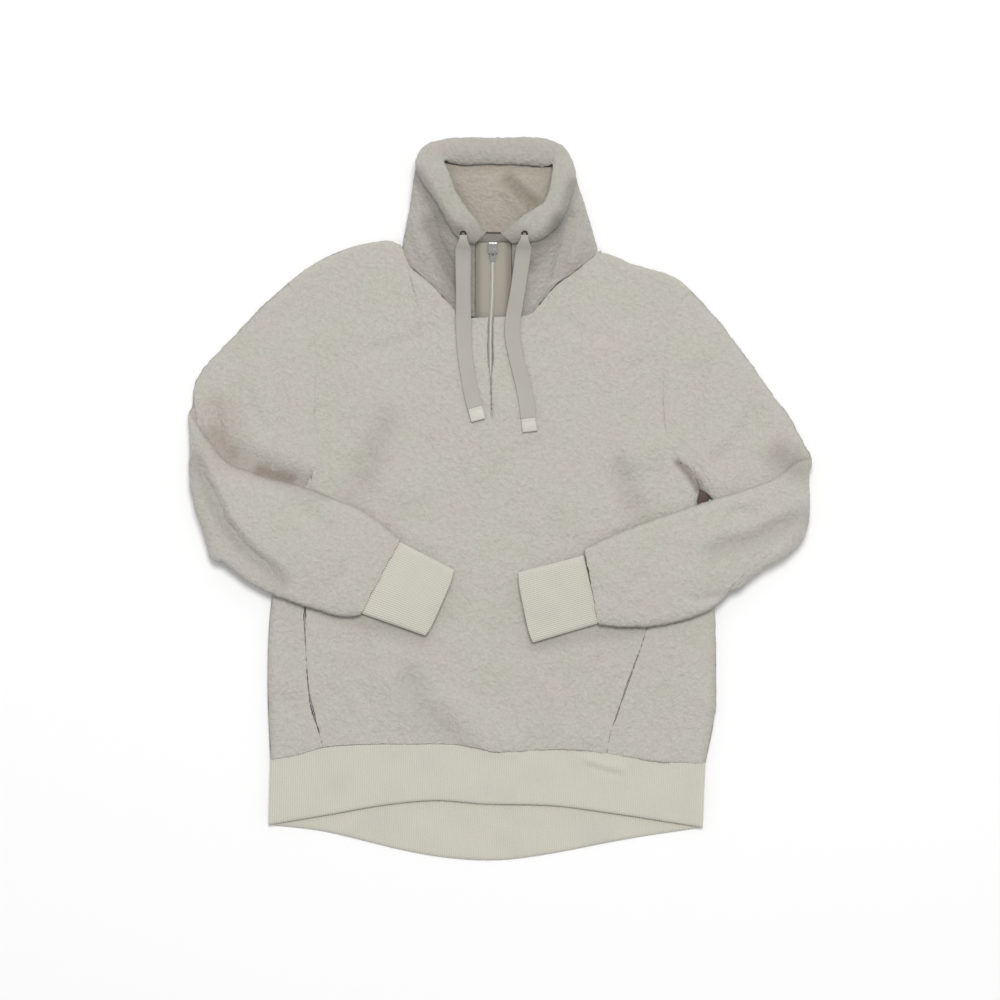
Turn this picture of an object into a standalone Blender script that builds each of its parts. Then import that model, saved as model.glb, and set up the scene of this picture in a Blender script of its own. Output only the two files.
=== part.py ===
"""Sherpa fleece pullover with a funnel collar and half zip, laid flat with its sleeves folded across it.

Metres, +Z up. The garment's back lies on z = 0, +Y runs from the hem to the collar, and left and right
are as seen from above. Each sewn piece is one object, and neighbours keep the width of a seam between them.
"""

import math

import bmesh
import bpy
from mathutils import Matrix, Vector

# Driving dimensions
FLEECE = 0.0050          # wall of the pile fleece, knit ground and pile together
RIB = 0.0040             # wall of the double rib band
CUFF_HALF = 0.0032       # half the thickness of a flattened cuff
SEAM = 0.0008            # gap between sewn pieces
ARMHOLE_GAP = 0.0014     # the same round the armholes, whose curve the sleeve's section follows
FRONT_LOW = 0.0053       # lower face of the front panel, which lies on the back
FLAT_STATIONS = (0.14, 0.32, 0.52, 0.68, 0.80, 0.90, 0.96)   # where a flattened sleeve has its lines
SLIT = 0.0005            # gap between the two layers inside a flattened sleeve
SLEEVE_HALF = 0.00515    # half the thickness of a flattened sleeve
FOLD_HEIGHT = 0.01135    # height of the axis that a sleeve turns over at the elbow
FOLD_RADIUS = 0.0062     # radius of the turn, at the middle of the flattened sleeve
# How far in an edge is rounded, and the share of the wall left at its lip
SILHOUETTE = (0.0080, 0.10)   # an outer edge
SEWN = (0.0035, 0.60)         # a seam within the garment
ROLL_HALF = 0.0065       # half the height of the collar's rolled rim
ROLL_END = math.radians(-5)   # where the roll ends, at the rim's inner edge
COLLAR_WALL = 0.0042
LINING_WALL = 0.0028
TAPE_TOP = 0.0080        # upper face of the zip tape under the front panel
TAPE = 0.0008
COIL_HALF = 0.0020
COIL_HEIGHT = 0.0018
CORD_WIDTH = 0.0175
CORD_HALF = 0.0010
TIP_HALF = 0.0017

COLOURS = {
    "fleece": ((0.56, 0.52, 0.46), 1.0, 0.0),
    "rib": ((0.62, 0.59, 0.50), 0.9, 0.0),
    "lining": ((0.50, 0.44, 0.37), 1.0, 0.0),
    "tape": ((0.42, 0.40, 0.35), 0.8, 0.0),
    "coil": ((0.70, 0.69, 0.66), 0.4, 0.0),
    "metal": ((0.60, 0.60, 0.60), 0.3, 1.0),
    "dark_metal": ((0.10, 0.09, 0.09), 0.35, 1.0),
    "cord": ((0.50, 0.47, 0.42), 0.8, 0.0),
    "tip": ((0.62, 0.60, 0.54), 0.5, 0.0),
}

# Plan outlines, each from the hem upward or from left to right: x, y
SIDE_LEFT = [(-0.264, -0.297), (-0.267, -0.212), (-0.264, -0.129), (-0.252, -0.055), (-0.239, -0.012)]
ARMHOLE_LEFT = [(-0.239, -0.012), (-0.235, 0.000), (-0.226, 0.012), (-0.216, 0.026), (-0.210, 0.044),
                (-0.210, 0.066), (-0.213, 0.090), (-0.213, 0.120), (-0.212, 0.170), (-0.2185, 0.206),
                (-0.243, 0.250)]
SIDE_RIGHT = [(0.236, -0.302), (0.246, -0.250), (0.248, -0.170), (0.243, -0.095), (0.233, -0.040),
              (0.227, -0.010), (0.229, 0.011)]
ARMHOLE_RIGHT = [(0.229, 0.011), (0.226, 0.021), (0.219, 0.030), (0.208, 0.042), (0.197, 0.060),
                 (0.190, 0.088), (0.188, 0.135), (0.193, 0.193), (0.202, 0.218), (0.218, 0.242)]
FRONT_TOP = [(-0.243, 0.250), (-0.216, 0.270), (-0.185, 0.2855), (-0.149, 0.2955), (-0.1155, 0.293),
             (-0.103, 0.266), (-0.082, 0.248), (-0.062, 0.227), (-0.044, 0.209), (-0.010, 0.208),
             (0.033, 0.209), (0.049, 0.226), (0.066, 0.245), (0.087, 0.260), (0.114, 0.283),
             (0.149, 0.272), (0.178, 0.263), (0.204, 0.254), (0.218, 0.242)]
BACK_TOP_EDGE = [(-0.243, 0.250), (-0.216, 0.270), (-0.185, 0.2855), (-0.149, 0.2955), (-0.1165, 0.2910),
                 (-0.050, 0.291), (0.000, 0.291), (0.050, 0.290), (0.114, 0.285),
                 (0.149, 0.272), (0.178, 0.263), (0.204, 0.254), (0.218, 0.242)]
HEM_FRONT = [(-0.264, -0.297), (-0.232, -0.292), (-0.203, -0.284),
             (-0.165, -0.281), (-0.116, -0.280), (-0.047, -0.281),
             (-0.002, -0.288), (0.068, -0.285), (0.122, -0.290), (0.170, -0.297), (0.236, -0.302)]
HEM_BACK = [(-0.264, -0.297), (-0.173, -0.322), (-0.081, -0.336), (-0.020, -0.340), (0.057, -0.335),
            (0.149, -0.321), (0.236, -0.302)]
BAND_FRONT_END = [(-0.266, -0.373), (-0.200, -0.362), (-0.137, -0.351), (-0.075, -0.345), (-0.020, -0.349),
                  (0.059, -0.351), (0.130, -0.360), (0.233, -0.376)]
BAND_BACK_END = [(-0.266, -0.373), (-0.200, -0.381), (-0.117, -0.401), (-0.060, -0.411), (0.000, -0.4135),
                 (0.059, -0.406), (0.142, -0.390), (0.233, -0.376)]
POCKET_SEAM_LEFT = [(-0.203, -0.283), (-0.211, -0.252), (-0.218, -0.221), (-0.222, -0.164),
                    (-0.223, -0.125), (-0.219, -0.055), (-0.216, 0.026)]
POCKET_SEAM_RIGHT = [(0.122, -0.290), (0.127, -0.265), (0.142, -0.220), (0.162, -0.164),
                     (0.184, -0.095), (0.203, -0.030), (0.219, 0.030)]
POCKET_OPENING = (-0.262, -0.122)   # lowest and highest y of the hand openings in those seams
POCKET_GAPE = 0.0016

# Largest folds of the front, as low ridges: x0, y0, x1, y1, half width, height
FRONT_FOLDS = [
    (-0.010, 0.095, -0.010, 0.235, 0.100, 0.0042),   # over the zip
    (-0.150, 0.130, -0.120, 0.020, 0.045, 0.0030),
    (0.120, 0.180, 0.160, 0.060, 0.045, 0.0035),
    (0.020, 0.040, 0.060, -0.010, 0.060, 0.0020),
    (-0.080, -0.230, -0.010, -0.275, 0.040, 0.0035),
    (0.060, -0.215, 0.090, -0.270, 0.040, 0.0022),
]

# A sleeve's sections: the outer edge's x, y, the inner edge's x, y, the turn in degrees, the bow outward
SLEEVE_LEFT = [
    (-0.2440, 0.2505, -0.2400, -0.0110, 0, 0.000),
    (-0.2700, 0.2270, -0.256, -0.018, 0, 0.000),
    (-0.2930, 0.2020, -0.272, -0.030, 0, 0.000),
    (-0.3150, 0.1795, -0.286, -0.041, 0, 0.002),
    (-0.3360, 0.1570, -0.299, -0.052, 0, 0.004),
    (-0.3490, 0.1370, -0.309, -0.061, 0, 0.006),
    (-0.3525, 0.1210, -0.315, -0.066, 0, 0.007),
    (-0.348, 0.110, -0.318, -0.068, 45, 0.008),
    (-0.348, 0.103, -0.319, -0.069, 90, 0.008),
    (-0.344, 0.090, -0.318, -0.070, 135, 0.008),
    (-0.334, 0.068, -0.315, -0.073, 180, 0.007),
    (-0.312, 0.043, -0.302, -0.084, 180, 0.004),
    (-0.283, 0.032, -0.281, -0.099, 180, 0.000),
    (-0.240, 0.020, -0.246, -0.115, 180, 0.000),
    (-0.190, 0.001, -0.209, -0.127, 180, 0.000),
    (-0.150, -0.018, -0.182, -0.133, 180, 0.000),
    (-0.1145, -0.0455, -0.1605, -0.1325, 180, 0.000),
]
SLEEVE_RIGHT = [
    (0.2190, 0.2425, 0.2300, 0.0120, 0, 0.000),
    (0.244, 0.216, 0.243, 0.003, 0, 0.000),
    (0.268, 0.185, 0.252, -0.013, 0, 0.000),
    (0.292, 0.152, 0.257, -0.032, 0, 0.004),
    (0.314, 0.121, 0.260, -0.053, 0, 0.010),
    (0.334, 0.093, 0.262, -0.072, 0, 0.017),
    (0.346, 0.072, 0.264, -0.085, 0, 0.025),
    (0.350, 0.060, 0.266, -0.092, 45, 0.030),
    (0.351, 0.054, 0.267, -0.096, 90, 0.032),
    (0.348, 0.050, 0.266, -0.100, 135, 0.031),
    (0.339, 0.043, 0.262, -0.106, 180, 0.027),
    (0.318, 0.026, 0.252, -0.117, 180, 0.016),
    (0.284, 0.013, 0.236, -0.128, 180, 0.006),
    (0.240, -0.001, 0.209, -0.138, 180, 0.000),
    (0.190, -0.017, 0.173, -0.145, 180, 0.000),
    (0.138, -0.037, 0.138, -0.146, 180, 0.000),
    (0.0965, -0.0555, 0.1130, -0.1435, 180, 0.000),
]
# A cuff's two ends: the upper edge's x, y and the lower edge's x, y
CUFF_LEFT = [(-0.1130, -0.0490, -0.1560, -0.1310), (-0.0530, -0.0800, -0.0860, -0.1555)]
CUFF_RIGHT = [(0.0920, -0.0645, 0.1105, -0.1420), (0.0215, -0.0830, 0.0380, -0.1635)]

# The collar, in columns from the zip's left edge round the back to its right edge: the base's x, y, z,
# the rolled rim's outer edge x, y and inner edge x, y, its rise, and the angle at which the stand meets it
COLLAR = [
    (-0.0290, 0.2105, 0.0145, -0.0290, 0.2925, -0.0165, 0.3045, 0.0450, 200),
    (-0.0440, 0.2112, 0.0145, -0.0430, 0.2945, -0.0245, 0.3165, 0.0450, 200),
    (-0.0610, 0.2290, 0.0145, -0.0580, 0.3120, -0.0350, 0.3295, 0.0440, 200),
    (-0.0810, 0.2500, 0.0143, -0.0730, 0.3380, -0.0485, 0.3500, 0.0410, 200),
    (-0.1015, 0.2680, 0.0135, -0.0870, 0.3590, -0.0585, 0.3710, 0.0355, 200),
    (-0.1100, 0.2800, 0.0115, -0.0950, 0.3740, -0.0630, 0.3810, 0.0270, 200),
    (-0.1120, 0.2895, 0.0082, -0.0965, 0.3840, -0.0645, 0.3845, 0.0185, 203),
    (-0.1115, 0.2925, 0.0054, -0.0930, 0.3945, -0.0638, 0.3868, 0.0118, 212),
    (-0.1075, 0.2935, 0.0030, -0.0850, 0.4045, -0.0608, 0.3872, 0.0060, 232),
    (-0.0930, 0.2930, 0.0005, -0.0700, 0.4105, -0.0545, 0.3850, 0.0010, 258),
    (-0.0500, 0.2925, 0.0000, -0.0350, 0.4133, -0.0330, 0.3830, 0.0000, 270),
    (0.0000, 0.2925, 0.0000, -0.0020, 0.4135, -0.0020, 0.3840, 0.0000, 270),
    (0.0500, 0.2925, 0.0000, 0.0330, 0.4133, 0.0310, 0.3820, 0.0000, 270),
    (0.0910, 0.2925, 0.0005, 0.0580, 0.4105, 0.0480, 0.3800, 0.0010, 258),
    (0.1070, 0.2925, 0.0030, 0.0710, 0.4035, 0.0560, 0.3810, 0.0060, 232),
    (0.1110, 0.2915, 0.0054, 0.0785, 0.3945, 0.0595, 0.3830, 0.0118, 212),
    (0.1125, 0.2885, 0.0082, 0.0835, 0.3840, 0.0605, 0.3810, 0.0185, 203),
    (0.1115, 0.2830, 0.0115, 0.0860, 0.3700, 0.0600, 0.3740, 0.0270, 200),
    (0.1000, 0.2735, 0.0135, 0.0840, 0.3520, 0.0575, 0.3610, 0.0355, 200),
    (0.0830, 0.2600, 0.0143, 0.0745, 0.3280, 0.0510, 0.3430, 0.0410, 200),
    (0.0640, 0.2460, 0.0145, 0.0600, 0.3080, 0.0410, 0.3345, 0.0440, 200),
    (0.0470, 0.2265, 0.0145, 0.0450, 0.2965, 0.0280, 0.3250, 0.0450, 200),
    (0.0330, 0.2112, 0.0145, 0.0290, 0.2940, 0.0140, 0.3140, 0.0450, 200),
    (0.0135, 0.2105, 0.0145, 0.0140, 0.2925, 0.0010, 0.3045, 0.0450, 200),
]

# The zip's line from its lower end to the rim: x, y, height of the tape's upper face
ZIP_LINE = [
    (-0.0095, 0.0950, TAPE_TOP), (-0.0105, 0.1370, TAPE_TOP), (-0.0112, 0.1770, TAPE_TOP),
    (-0.0108, 0.2000, TAPE_TOP), (-0.0104, 0.2080, 0.0082), (-0.0103, 0.2110, 0.0090),
    (-0.0100, 0.2160, 0.0112), (-0.0090, 0.2300, 0.0165), (-0.0085, 0.2600, 0.0275),
    (-0.0080, 0.2940, 0.0400),
]
TAPE_OUTER = [  # y, left tape's outer x, right tape's outer x
    (0.0950, -0.0230, 0.0060), (0.2000, -0.0270, 0.0060), (0.2080, -0.0280, 0.0100),
    (0.2160, -0.0283, 0.0126), (0.2940, -0.0279, 0.0128),
]

# Drawcords, from the eyelet to the tip: x, y, height of the cord's middle
CORD_LEFT = [
    (-0.0420, 0.3020, 0.0549), (-0.0420, 0.2970, 0.0540), (-0.0420, 0.2915, 0.0508),
    (-0.0421, 0.2860, 0.0462), (-0.0421, 0.2790, 0.0421), (-0.0421, 0.2700, 0.0384),
    (-0.0421, 0.2550, 0.0331), (-0.0420, 0.2400, 0.0279),
    (-0.0420, 0.2280, 0.0239), (-0.0420, 0.2180, 0.0209),
    (-0.0420, 0.2090, 0.0187), (-0.0419, 0.1980, 0.0171),
    (-0.0414, 0.1850, 0.0162), (-0.0404, 0.1700, 0.0160),
    (-0.0388, 0.1560, 0.0160), (-0.0362, 0.1400, 0.0160),
    (-0.0334, 0.1250, 0.0160), (-0.0300, 0.1110, 0.0164),
    (-0.0288, 0.1065, 0.0166),
]
CORD_RIGHT = [
    (0.0280, 0.3020, 0.0562), (0.0278, 0.2970, 0.0550), (0.0274, 0.2915, 0.0512),
    (0.0268, 0.2860, 0.0462), (0.0260, 0.2790, 0.0421), (0.0248, 0.2700, 0.0384),
    (0.0226, 0.2550, 0.0331), (0.0204, 0.2400, 0.0279), (0.0184, 0.2280, 0.0239), (0.0166, 0.2180, 0.0209),
    (0.0152, 0.2090, 0.0187), (0.0142, 0.1980, 0.0171), (0.0146, 0.1850, 0.0162), (0.0168, 0.1720, 0.0160),
    (0.0200, 0.1580, 0.0160), (0.0236, 0.1430, 0.0160), (0.0272, 0.1280, 0.0160), (0.0304, 0.1120, 0.0158),
    (0.0318, 0.0990, 0.0156), (0.0324, 0.0940, 0.0155),
]
TIP_LENGTH = 0.0155
EYELETS = [("eyelet_left", -0.0420, 0.0534), ("eyelet_right", 0.0280, 0.0544)]   # name, x, height


def ease(t):
    return t * t * (3 - 2 * t)


def spline(knots, values):
    """A smooth curve through the values at rising knots."""
    def slope(i):
        low, high = max(i - 1, 0), min(i + 1, len(knots) - 1)
        return (values[high] - values[low]) / (knots[high] - knots[low])

    def at(t):
        t = min(max(t, knots[0]), knots[-1])
        i = next(k for k in range(len(knots) - 1) if t <= knots[k + 1])
        span = knots[i + 1] - knots[i]
        s = (t - knots[i]) / span
        start, end = slope(i) * span, slope(i + 1) * span
        return ((2 * s**3 - 3 * s**2 + 1) * values[i] + (s**3 - 2 * s**2 + s) * start
                + (3 * s**2 - 2 * s**3) * values[i + 1] + (s**3 - s**2) * end)
    return at


def along(points):
    """A curve through plan points, by its length from 0 to 1."""
    points = [Vector(p) for p in points]
    lengths = [0.0]
    for a, b in zip(points, points[1:]):
        lengths.append(lengths[-1] + (b - a).length)
    return spline([d / lengths[-1] for d in lengths], points)


def height_of(points):
    """The y of an outline that runs from left to right, at any x."""
    return spline([p[0] for p in points], [p[1] for p in points])


def across(points, low=None, high=None):
    """The part of such an outline between two x, by its share from 0 to 1."""
    y_at = height_of(points)
    low = points[0][0] if low is None else low
    high = points[-1][0] if high is None else high

    def at(t):
        x = low + (high - low) * t
        return Vector((x, y_at(x)))
    return at


def patch(bottom, top, left, right):
    """The plan of a piece bounded by four edges."""
    corners = bottom(0), bottom(1), top(0), top(1)

    def at(u, v):
        return ((1 - v) * bottom(u) + v * top(u) + (1 - u) * left(v) + u * right(v)
                - (1 - u) * (1 - v) * corners[0] - u * (1 - v) * corners[1]
                - (1 - u) * v * corners[2] - u * v * corners[3])
    return at


def rounded(distance, edge):
    """The share of a wall that is left at a distance from a rounded edge."""
    radius, lip = edge
    reach = min(distance / radius, 1.0)
    return lip + (1 - lip) * math.sqrt(1 - (1 - reach) ** 2)


def fold_height(x, y):
    """How far the front's folds lift it at a place."""
    total = 0.0
    for x0, y0, x1, y1, half, height in FRONT_FOLDS:
        start, run = Vector((x0, y0)), Vector((x1 - x0, y1 - y0))
        spot = Vector((x, y)) - start
        share = min(max(spot.dot(run) / run.length_squared, 0.0), 1.0)
        reach = (spot - run * share).length / half
        if reach < 1:
            total = max(total, height * (1 - reach * reach) ** 2)
    return total


def steps(*marks):
    """Rising shares from 0 to 1, with (count) even steps between marks given as (mark, count) pairs."""
    values = [0.0]
    for mark, count in marks:
        start = values[-1]
        values += [start + (mark - start) * (i + 1) / count for i in range(count)]
    return values


def new_object(name, mesh, finish):
    obj = bpy.data.objects.new(name, mesh)
    garment.objects.link(obj)
    if obj.data.materials:
        obj.data.materials[0] = finishes[finish]
    else:
        obj.data.materials.append(finishes[finish])
    return obj


def closed(name, finish, outer, inner, wrap=False, skip=()):
    """One closed solid between two like grids of points, with walls wherever the grids are open."""
    bm = bmesh.new()
    rows, columns = len(outer), len(outer[0])
    faces = [[[bm.verts.new(p) for p in row] for row in grid] for grid in (outer, inner)]
    edges = {}
    for i in range(rows - 1):
        for j in range(columns if wrap else columns - 1):
            if (i, j) in skip:
                continue
            ring = [(i, j), (i, (j + 1) % columns), (i + 1, (j + 1) % columns), (i + 1, j)]
            bm.faces.new([faces[0][a][b] for a, b in ring])
            bm.faces.new([faces[1][a][b] for a, b in reversed(ring)])
            for start, end in zip(ring, ring[1:] + ring[:1]):
                if (end, start) in edges:
                    del edges[end, start]
                else:
                    edges[start, end] = True
    for (a, b), (c, d) in edges:
        bm.faces.new([faces[0][c][d], faces[0][a][b], faces[1][a][b], faces[1][c][d]])
    bmesh.ops.delete(bm, geom=[v for v in bm.verts if not v.link_faces], context="VERTS")
    bmesh.ops.recalc_face_normals(bm, faces=bm.faces)
    mesh = bpy.data.meshes.new(name)
    bm.to_mesh(mesh)
    bm.free()
    mesh.shade_smooth()
    mesh.set_sharp_from_angle(angle=math.radians(50))
    return new_object(name, mesh, finish)


def panel(name, finish, plan, us, vs, wall, edges, face_down=False, lift=None, skip=()):
    """A flat piece of cloth. Its outer face rounds off at the edges, and lift raises it as a fold does."""
    left, right, bottom, top = edges
    skin, ground = [], []
    for v in vs:
        skin.append([])
        ground.append([])
        for u in us:
            spot = plan(u, v)
            share = min(rounded((spot - plan(0, v)).length, left(v)),
                        rounded((spot - plan(1, v)).length, right(v)),
                        rounded((spot - plan(u, 0)).length, bottom(u)),
                        rounded((spot - plan(u, 1)).length, top(u)))
            rise = lift(spot.x, spot.y) if lift else 0.0
            if face_down:
                ground[-1].append(Vector((spot.x, spot.y, wall + rise)))
                skin[-1].append(Vector((spot.x, spot.y, wall * (1 - share))))
            else:
                ground[-1].append(Vector((spot.x, spot.y, FRONT_LOW + rise)))
                skin[-1].append(Vector((spot.x, spot.y, FRONT_LOW + rise + wall * share)))
    return closed(name, finish, skin, ground, skip=skip)


def section(a, b, half, bow, turn, axis_height, turn_radius, inset):
    """One closed section of a flattened tube between two plan points. half is half its thickness."""
    run = b - a
    width = run.length
    run = run.normalized()
    outward = Vector((run.y, -run.x))
    if outward.x * a.x < 0:
        outward = -outward
    out3 = Vector((outward.x, outward.y, 0))
    up = Vector((0, 0, 1)) * math.cos(turn) - out3 * math.sin(turn)
    middle = Vector((0, 0, axis_height)) - up * turn_radius
    stations = []
    for angle in (0, 45, 90):
        bend = math.radians(angle)
        stations.append((inset + half * (1 - math.cos(bend)), half * math.sin(bend)))
    flat = width - 2 * (inset + half)
    stations += [(inset + half + flat * share, half) for share in FLAT_STATIONS]
    stations += [(width - d, h) for d, h in stations[2::-1]]
    loop = stations + [(d, -h) for d, h in stations[-2:0:-1]]
    points = []
    for distance, height in loop:
        share = distance / width
        spot = a + run * distance
        points.append(Vector((spot.x, spot.y, 0)) + out3 * bow(share) + middle + up * height)
    return points


def sleeve(name, rows, armhole):
    """A sleeve as one flattened tube, sewn round the armhole and turned over at the elbow."""
    first_a, first_b = Vector(rows[0][:2]), Vector(rows[0][2:4])
    run = (first_b - first_a).normalized()
    outward = Vector((run.y, -run.x))
    if outward.x * first_a.x < 0:
        outward = -outward
    hole_start, hole_end = armhole(1), armhole(0)

    def hole_bow(share):
        """How far the armhole curves outward from its straight line."""
        samples = [armhole(1 - k / 60) - hole_start for k in range(61)]
        reach = hole_end - hole_start
        spot = min(samples, key=lambda p: abs(p.dot(reach) / reach.length_squared - share))
        return spot.dot(outward)

    outer, inner = [], []
    for k, (ax, ay, bx, by, turn, bow) in enumerate(rows):
        fade = max(0.0, 1 - k / 3.5) ** 1.5
        end = max(0.0, (k - len(rows) + 4) / 3)
        half = SLEEVE_HALF + (0.0042 - SLEEVE_HALF) * end

        def curve(share, fade=fade, bow=bow):
            lip = ARMHOLE_GAP if fade == 1.0 else 0.0
            return fade * hole_bow(share) + lip + bow * math.sin(math.pi * share) ** 2
        place = (Vector((ax, ay)), Vector((bx, by)))
        settle = FOLD_RADIUS - (SLEEVE_HALF - half)
        angle = math.radians(turn)
        outer.append(section(*place, half, curve, angle, FOLD_HEIGHT, settle, 0.0))
        inner.append(section(*place, SLIT / 2, curve, angle, FOLD_HEIGHT, settle, half - SLIT / 2))
    return closed(name, "fleece", outer, inner, wrap=True)


def cuff(name, ends):
    """A flattened rib tube, a little open at its end."""
    start, end = ends
    base = FOLD_HEIGHT + FOLD_RADIUS - SLEEVE_HALF
    outer, inner = [], []
    for share in (0.0, 0.07, 0.93, 1.0):
        values = [s + (e - s) * share for s, e in zip(start, end)]
        place = (Vector(values[:2]), Vector(values[2:]))
        swell = 1 + 0.12 * math.sin(math.pi * share)
        half = CUFF_HALF * swell * (0.9 if share in (0.0, 1.0) else 1.0)
        gap = SLIT / 2 + 0.0006 * share
        rest = base + CUFF_HALF * 1.12
        outer.append(section(*place, half, lambda s: 0.0, 0.0, rest, 0.0, 0.0))
        inner.append(section(*place, gap, lambda s: 0.0, 0.0, rest, 0.0, half - gap))
    return closed(name, "rib", outer, inner, wrap=True)


def collar_frames():
    """For each column of the collar: its base, the middle of the rolled rim, the rim's half width inward, the
    angle at which the stand meets it, that joint, and the stand's own inward direction."""
    frames = []
    for bx, by, bz, ox, oy, ix, iy, rise, start in COLLAR:
        lift = ROLL_HALF + rise * (0.0460 - ROLL_HALF) / 0.0450
        centre = Vector(((ox + ix) / 2, (oy + iy) / 2, lift))
        reach = Vector(((ix - ox) / 2, (iy - oy) / 2, 0))
        frames.append([Vector((bx, by, bz)), centre, reach, math.radians(start)])
    for frame in frames:
        frame.append(rolled(frame, frame[3], 0.0))
    last = len(frames) - 1
    for k, frame in enumerate(frames):
        ring = frames[min(k + 1, last)][4] - frames[max(k - 1, 0)][4]
        frame.append(ring.cross(frame[4] - frame[0]).normalized())
    return frames


def rolled(frame, angle, inset):
    """A point round the rolled rim, at a depth below its outer face."""
    _, centre, reach = frame[:3]
    across_rim = reach.normalized() * (reach.length - inset) * math.cos(angle)
    return centre + across_rim + Vector((0, 0, (ROLL_HALF - inset) * math.sin(angle)))


def collar():
    """The outer collar: up from the neck seam, round its rolled rim and down to the rim's inner edge."""
    outer, inner = [], []
    for frame in collar_frames():
        base, _, _, start, joint, inward = frame
        skin, back = [], []
        for share in (0.0, 0.03, 0.3, 0.6, 0.92, 1.0):
            spot = base.lerp(joint, share)
            shrink = 0.75 if share == 0.0 else 1.0
            skin.append(spot + inward * COLLAR_WALL * (1 - shrink))
            back.append(spot + inward * COLLAR_WALL)
        for step in range(1, 9):
            angle = start + (ROLL_END - start) * step / 8
            skin.append(rolled(frame, angle, 0.0))
            back.append(rolled(frame, angle, COLLAR_WALL))
        outer.append(skin)
        inner.append(back)
    return closed("collar", "fleece", outer, inner)


def collar_lining():
    """The collar's inner layer, from near the neck seam up to the rolled rim."""
    near, far = [], []
    for base, centre, reach, _, joint, inward in collar_frames():
        climb = joint - base
        edge = (centre + reach - base).dot(climb) / climb.length_squared
        top = min(edge - 0.0032 / climb.length, 0.93)
        rows = ([], [])
        first = 0.14 + 0.40 * (1 - abs(inward.z)) ** 0.5
        for share in (first, (first + top) / 2, top - 0.02, top):
            spot = base.lerp(joint, share) + inward * (COLLAR_WALL + SEAM)
            rows[0].append(spot + inward * LINING_WALL)
            rows[1].append(spot)
        near.append(rows[0])
        far.append(rows[1])
    return closed("collar_lining", "lining", near, far)


def zip_tapes():
    centre = spline([p[1] for p in ZIP_LINE], [p[0] for p in ZIP_LINE])
    top = spline([p[1] for p in ZIP_LINE], [p[2] for p in ZIP_LINE])
    ys = sorted({p[1] for p in ZIP_LINE} | {0.245, 0.278})
    for side, column, sign in (("left", 1, -1), ("right", 2, 1)):
        edge = spline([p[0] for p in TAPE_OUTER], [p[column] for p in TAPE_OUTER])
        upper = [[Vector((centre(y) + sign * 0.0002, y, top(y))), Vector((edge(y), y, top(y)))] for y in ys]
        lower = [[p - Vector((0, 0, TAPE)) for p in row] for row in upper]
        closed("zip_tape_" + side, "tape", upper, lower)
    rise = Vector((0, 0, COIL_HEIGHT))
    low, high = [], []
    for y in [0.1100] + [y for y in ys if 0.11 < y < 0.28] + [0.2812]:
        foot = Vector((centre(y), y, top(y) + 0.0003))
        low.append([foot + Vector((COIL_HALF * share, 0, 0)) for share in (-1.0, -0.5, 0.5, 1.0)])
        high.append([p + rise * share for p, share in zip(low[-1], (0.45, 1.0, 1.0, 0.45))])
    closed("zip_coil", "coil", high, low)
    stop_y = 0.1078
    box("zip_stop", "metal", (0.0040, 0.0030, 0.0016),
        Matrix.Translation((centre(stop_y), stop_y, TAPE_TOP + 0.0012)), 0.0004)


def box(name, finish, size, place, bevel):
    """A block with rounded edges, put in place as part of its mesh."""
    bm = bmesh.new()
    bmesh.ops.create_cube(bm, size=1.0, matrix=place @ Matrix.Diagonal((*size, 1)))
    bmesh.ops.bevel(bm, geom=list(bm.edges), offset=bevel, segments=2, affect="EDGES", profile=0.5)
    mesh = bpy.data.meshes.new(name)
    bm.to_mesh(mesh)
    bm.free()
    return new_object(name, mesh, finish)


def joined(target, tool, operation="UNION"):
    """Joins a tool object to a target, or cuts it away, and removes the tool."""
    change = target.modifiers.new("join", "BOOLEAN")
    change.operation = operation
    change.object = tool
    mesh = bpy.data.meshes.new_from_object(target.evaluated_get(bpy.context.evaluated_depsgraph_get()))
    target.modifiers.clear()
    target.data = mesh
    bpy.data.objects.remove(tool)
    return target


ZIP_SLOPE = math.atan2(ZIP_LINE[-1][2] - ZIP_LINE[-2][2], ZIP_LINE[-1][1] - ZIP_LINE[-2][1])
SLIDER_SPOT = Vector((-0.0082, 0.2885, 0.0380 + 0.0003 + COIL_HEIGHT))
PLATE = (0.0105, 0.0130, 0.0020)
HINGE_AHEAD = 0.0020     # from the plate's middle towards the hem
HINGE_HEIGHT = 0.0037    # above the plate's underside
TAB_LENGTH = 0.0150
TAB_WIDTH = 0.0060
TAB_TILT = math.radians(11)


def extruded(name, finish, outline, width, place, radius=0.0):
    """An outline in the plane across X, extruded along X, with its lengthwise corners eased."""
    bm = bmesh.new()
    face = bm.faces.new([bm.verts.new((-width / 2, y, z)) for y, z in outline])
    grown = bmesh.ops.extrude_face_region(bm, geom=[face])
    moved = [v for v in grown["geom"] if isinstance(v, bmesh.types.BMVert)]
    bmesh.ops.translate(bm, verts=moved, vec=(width, 0, 0))
    bmesh.ops.recalc_face_normals(bm, faces=bm.faces)
    if radius:
        corners = [e for e in bm.edges if abs(e.verts[0].co.x - e.verts[1].co.x) > width / 2]
        bmesh.ops.bevel(bm, geom=corners, offset=radius, segments=2, affect="EDGES", profile=0.5)
    bm.transform(place)
    mesh = bpy.data.meshes.new(name)
    bm.to_mesh(mesh)
    bm.free()
    return new_object(name, mesh, finish)


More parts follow.
